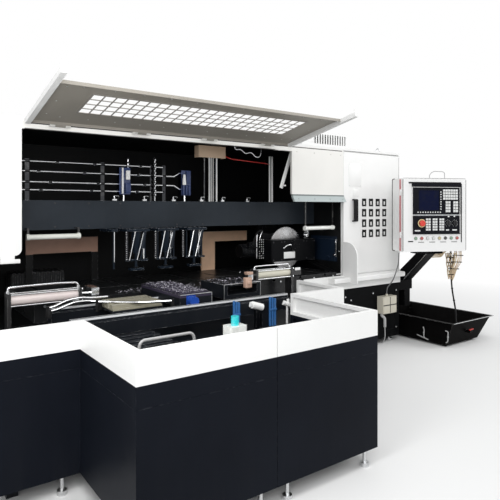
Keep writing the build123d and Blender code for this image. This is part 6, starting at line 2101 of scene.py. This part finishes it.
fill_key_caps(key_caps)
for number, (x_low, z_low, columns, rows, pitch_z, height) in enumerate(
    (
        (0.09, 0.574, 6, 4, 0.03, 0.025),
        (0.122, 0.434, 2, 4, 0.032, 0.027),
        (0.216, 0.434, 2, 4, 0.032, 0.027),
        (-0.119, 0.231, 2, 5, 0.028, 0.022),
        (-0.037, 0.231, 2, 5, 0.028, 0.022),
        (0.045, 0.231, 2, 5, 0.028, 0.022),
    ),
    1,
):
    places = [
        on_box(x_low + key_pitch_x * (i + 0.5), key_seat, z_low + pitch_z * (j + 0.5))
        for i in range(columns)
        for j in range(rows)
    ]
    values = {"Width": 0.0275, "Height": height, "Depth": 0.0042}
    values["Turn"] = (math.radians(90), 0, box_turn)
    grow(
        "key caps %d" % number, key_caps, values, key_plastic, "control_door", places
    )

# %% [markdown]
# A painted highlight along the arm's front edge is a thin bright tube. The junction box has four
# raised lids with small screws at its corners, and a grey conduit drops from it to the floor in two
# widths.

# %% Arm, junction box and conduit
arm_low, arm_high = Vector((2.003, 0.2088, 0.704)), Vector((1.821, -0.2415, 1.058))
arm_highlight_run = [arm_low, arm_low.lerp(arm_high, 0.5), arm_high]
tube_piece("arm highlight strip", bright_steel, [arm_highlight_run], 0.0045, 8)
block_piece(
    "junction box lids", junction_coat,
    [
        ((x, 0.1115, z), (x + 0.104, 0.1155, z + 0.084))
        for x in (1.534, 1.648)
        for z in (0.37, 0.464)
    ],
)
screws(
    "junction screws", "junction_box", spots((1.532, 1.754), 0.0, (0.369, 0.55)), to_back,
    radius=0.004, height=0.005,
)
conduit = start_shape()
upper_run = [
    (1.54, 0.15, 0.372), (1.54, 0.15, 0.34), (1.56, 0.122, 0.318), (1.562, 0.122, 0.213)
]
lower_run = [
    (1.562, 0.122, 0.214), (1.566, 0.121, 0.1), (1.6, 0.18, 0.012), (1.64, 0.3, 0.008)
]
add_pipe(conduit, upper_run, 0.016, 0.03, 14)
add_pipe(conduit, lower_run, 0.006, 0.04)
finish_shape(conduit, "conduit", sleeve_plastic)

# %% [markdown]
# The rim strips are a painted highlight along the tank's rim; they follow the tank's measured box,
# so they stay on its edge. The drains are plastic pipes with screwed rings. The last screws hold
# the base's covers, the apron and the door's handle.

# %% Tank rim, drains and base screws
tank_low, tank_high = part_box("coolant_tank")
rim_z = 0.2825
rim_left, rim_right = tank_low[0] + 0.012, tank_high[0] - 0.002
rim_front, rim_rear, rim_side = tank_low[1] + 0.003, tank_high[1] - 0.003, tank_high[0] - 0.003
rim_highlight_runs = (
    ((rim_left, rim_front, rim_z), (rim_right, rim_front, rim_z)),
    ((rim_side, tank_low[1] + 0.002, rim_z), (rim_side, tank_high[1] - 0.002, rim_z)),
    ((rim_left, rim_rear, rim_z), (rim_right, rim_rear, rim_z)),
)
tube_piece("tank rim highlight", zinc_steel, rim_highlight_runs, 0.0028, 8)
tank_side = tank_low[0] - 0.003
drains = start_shape()
rear_drain = ((-0.052, 0.185), (-0.066, 0.15), (-0.058, 0.06), (-0.12, 0.048))
front_drain = ((-0.345, 0.192), (-0.378, 0.19), (-0.374, 0.075), (-0.352, 0.06))
add_pipe(drains, [(tank_side, y, z) for y, z in rear_drain], 0.006, 0.03, 10)
add_rod(drains, (tank_side, 0.035, 0.078), (tank_side, -0.07, 0.056), 0.006, 12)
add_pipe(drains, [(tank_side, y, z) for y, z in front_drain], 0.006, 0.02, 10)
for y, z in ((-0.06, 0.12), (-0.376, 0.13)):
    add_ring(drains, (tank_side, y, z - 0.008), (tank_side, y, z + 0.008), 0.0095, 0.005, 14)
finish_shape(drains, "tank drain pipes", sleeve_plastic)
base_rows = spots((1.0, 1.45, 1.86), 0.0, (0.6, 0.16))
screws(
    "base screws", "bed_frame", base_rows + [(1.094, 0.0, 0.555)], to_back,
    radius=0.009, height=0.005,
)
screws(
    "apron screws", "apron", spots((0.45, 0.78, 1.11, 1.44, 1.77), -0.5, (0.725,)), to_back,
    radius=0.007, height=0.003, material=white_coat,
)
screws(
    "door handle screws", "door_handle", spots((1.134,), 0.0, (1.437, 1.663)), to_back,
    "cabinet_door", radius=0.005, height=0.002, material=dark_steel,
)

# %% [markdown]
# ## Floor and light
# The photograph stands on white. A wide pale floor keeps the machine's soft
# shadow close to it and turns to plain white further away; the world shows white
# to the camera and in the metal, and lights the rest at a plain level.

# %% Floor
floor_reach = 60
fade_from, fade_to = 2.6, 7.5
plain_white = (1, 1, 1, 1)


def looked_at(tree, first, *others):
    """One for rays of the named Light Path kinds, nought for the rest."""
    seen = place(tree, "ShaderNodeLightPath").outputs
    total = seen[first]
    for kind in others:
        total = maths(tree, "ADD", total, seen[kind], clamp=True)
    return total


corners = [(-1, -1), (1, -1), (1, 1), (-1, 1)]
floor_mesh = bpy.data.meshes.new("floor")
places = [(x * floor_reach, y * floor_reach, 0) for x, y in corners]
floor_mesh.from_pydata(places, [], [(0, 1, 2, 3)])
floor = new_object("floor", floor_mesh)
floor_material = bpy.data.materials.new("pale floor")
floor_material.use_nodes = True
tree = floor_material.node_tree
shader = tree.nodes["Principled BSDF"]
shader.inputs["Base Color"].default_value = (0.82, 0.82, 0.815, 1)
shader.inputs["Roughness"].default_value = 0.85
shader.inputs["Specular IOR Level"].default_value = 0.1
far_white = place(tree, "ShaderNodeEmission", in_Color=plain_white, in_Strength=1.0)
away = vectors(tree, "LENGTH", object_place(tree)).outputs["Value"]
direct = looked_at(tree, "Is Camera Ray", "Is Glossy Ray")
fade = maths(tree, "MULTIPLY", span(tree, away, fade_from, fade_to), direct)
blend = place(tree, "ShaderNodeMixShader", in_0=fade, in_1=shader, in_2=far_white)
tree.links.new(blend.outputs[0], tree.nodes["Material Output"].inputs["Surface"])
floor_mesh.materials.append(floor_material)
print("floor fades from", fade_from, "to", fade_to)

# %% [markdown]
# The world has two strengths. What the camera, a gloss or a see-through surface
# looks at is plain white, and everything else is lit a little weaker and cooler,
# so that the white sheets keep their shading.

# %% World
world = bpy.data.worlds.new("studio")
world.use_nodes = True
bpy.context.scene.world = world
tree = world.node_tree
background = tree.nodes["Background"]
background.inputs["Color"].default_value = (0.97, 0.985, 1.0, 1)
background.inputs["Strength"].default_value = 0.55
white_sky = place(tree, "ShaderNodeBackground", in_Color=plain_white, in_Strength=1.0)
direct = looked_at(tree, "Is Camera Ray", "Is Glossy Ray", "Is Transmission Ray")
blend = place(tree, "ShaderNodeMixShader", in_0=direct, in_1=background, in_2=white_sky)
tree.links.new(blend.outputs[0], tree.nodes["World Output"].inputs["Surface"])
print("world strength:", background.inputs["Strength"].default_value)

# %% [markdown]
# Five soft lamps stand round the machine, as in a photographer's hall: a wide one
# in front, a weaker one on each side, one above and a small one that reaches into
# the sawing room.

# %% Lamps
def soft_lamp(name, at, toward, power, size):
    """A large square lamp turned toward a point."""
    data = bpy.data.lights.new(name, "AREA")
    data.energy = power
    data.size = size
    lamp = new_object(name, data)
    lamp.location = at
    lamp.rotation_euler = (Vector(toward) - Vector(at)).to_track_quat("-Z", "Y").to_euler()
    print(name, "power:", power, "size:", size)


soft_lamp("front lamp", (-4.5, -7.0, 5.0), (0, 0, 0.9), 255, 5.0)
soft_lamp("side lamp", (6.5, -4.0, 4.5), (0.8, 0, 0.9), 170, 4.0)
soft_lamp("top lamp", (0, -1.5, 6.5), (0, 0, 0.5), 115, 5.0)
soft_lamp("left lamp", (-8.0, -2.5, 2.6), (0.5, 0, 1.1), 84, 3.0)
soft_lamp("inside lamp", (-2.6, -1.9, 2.0), (-0.4, 0.9, 1.2), 22, 1.0)
bpy.context.scene.view_settings.view_transform = "Standard"
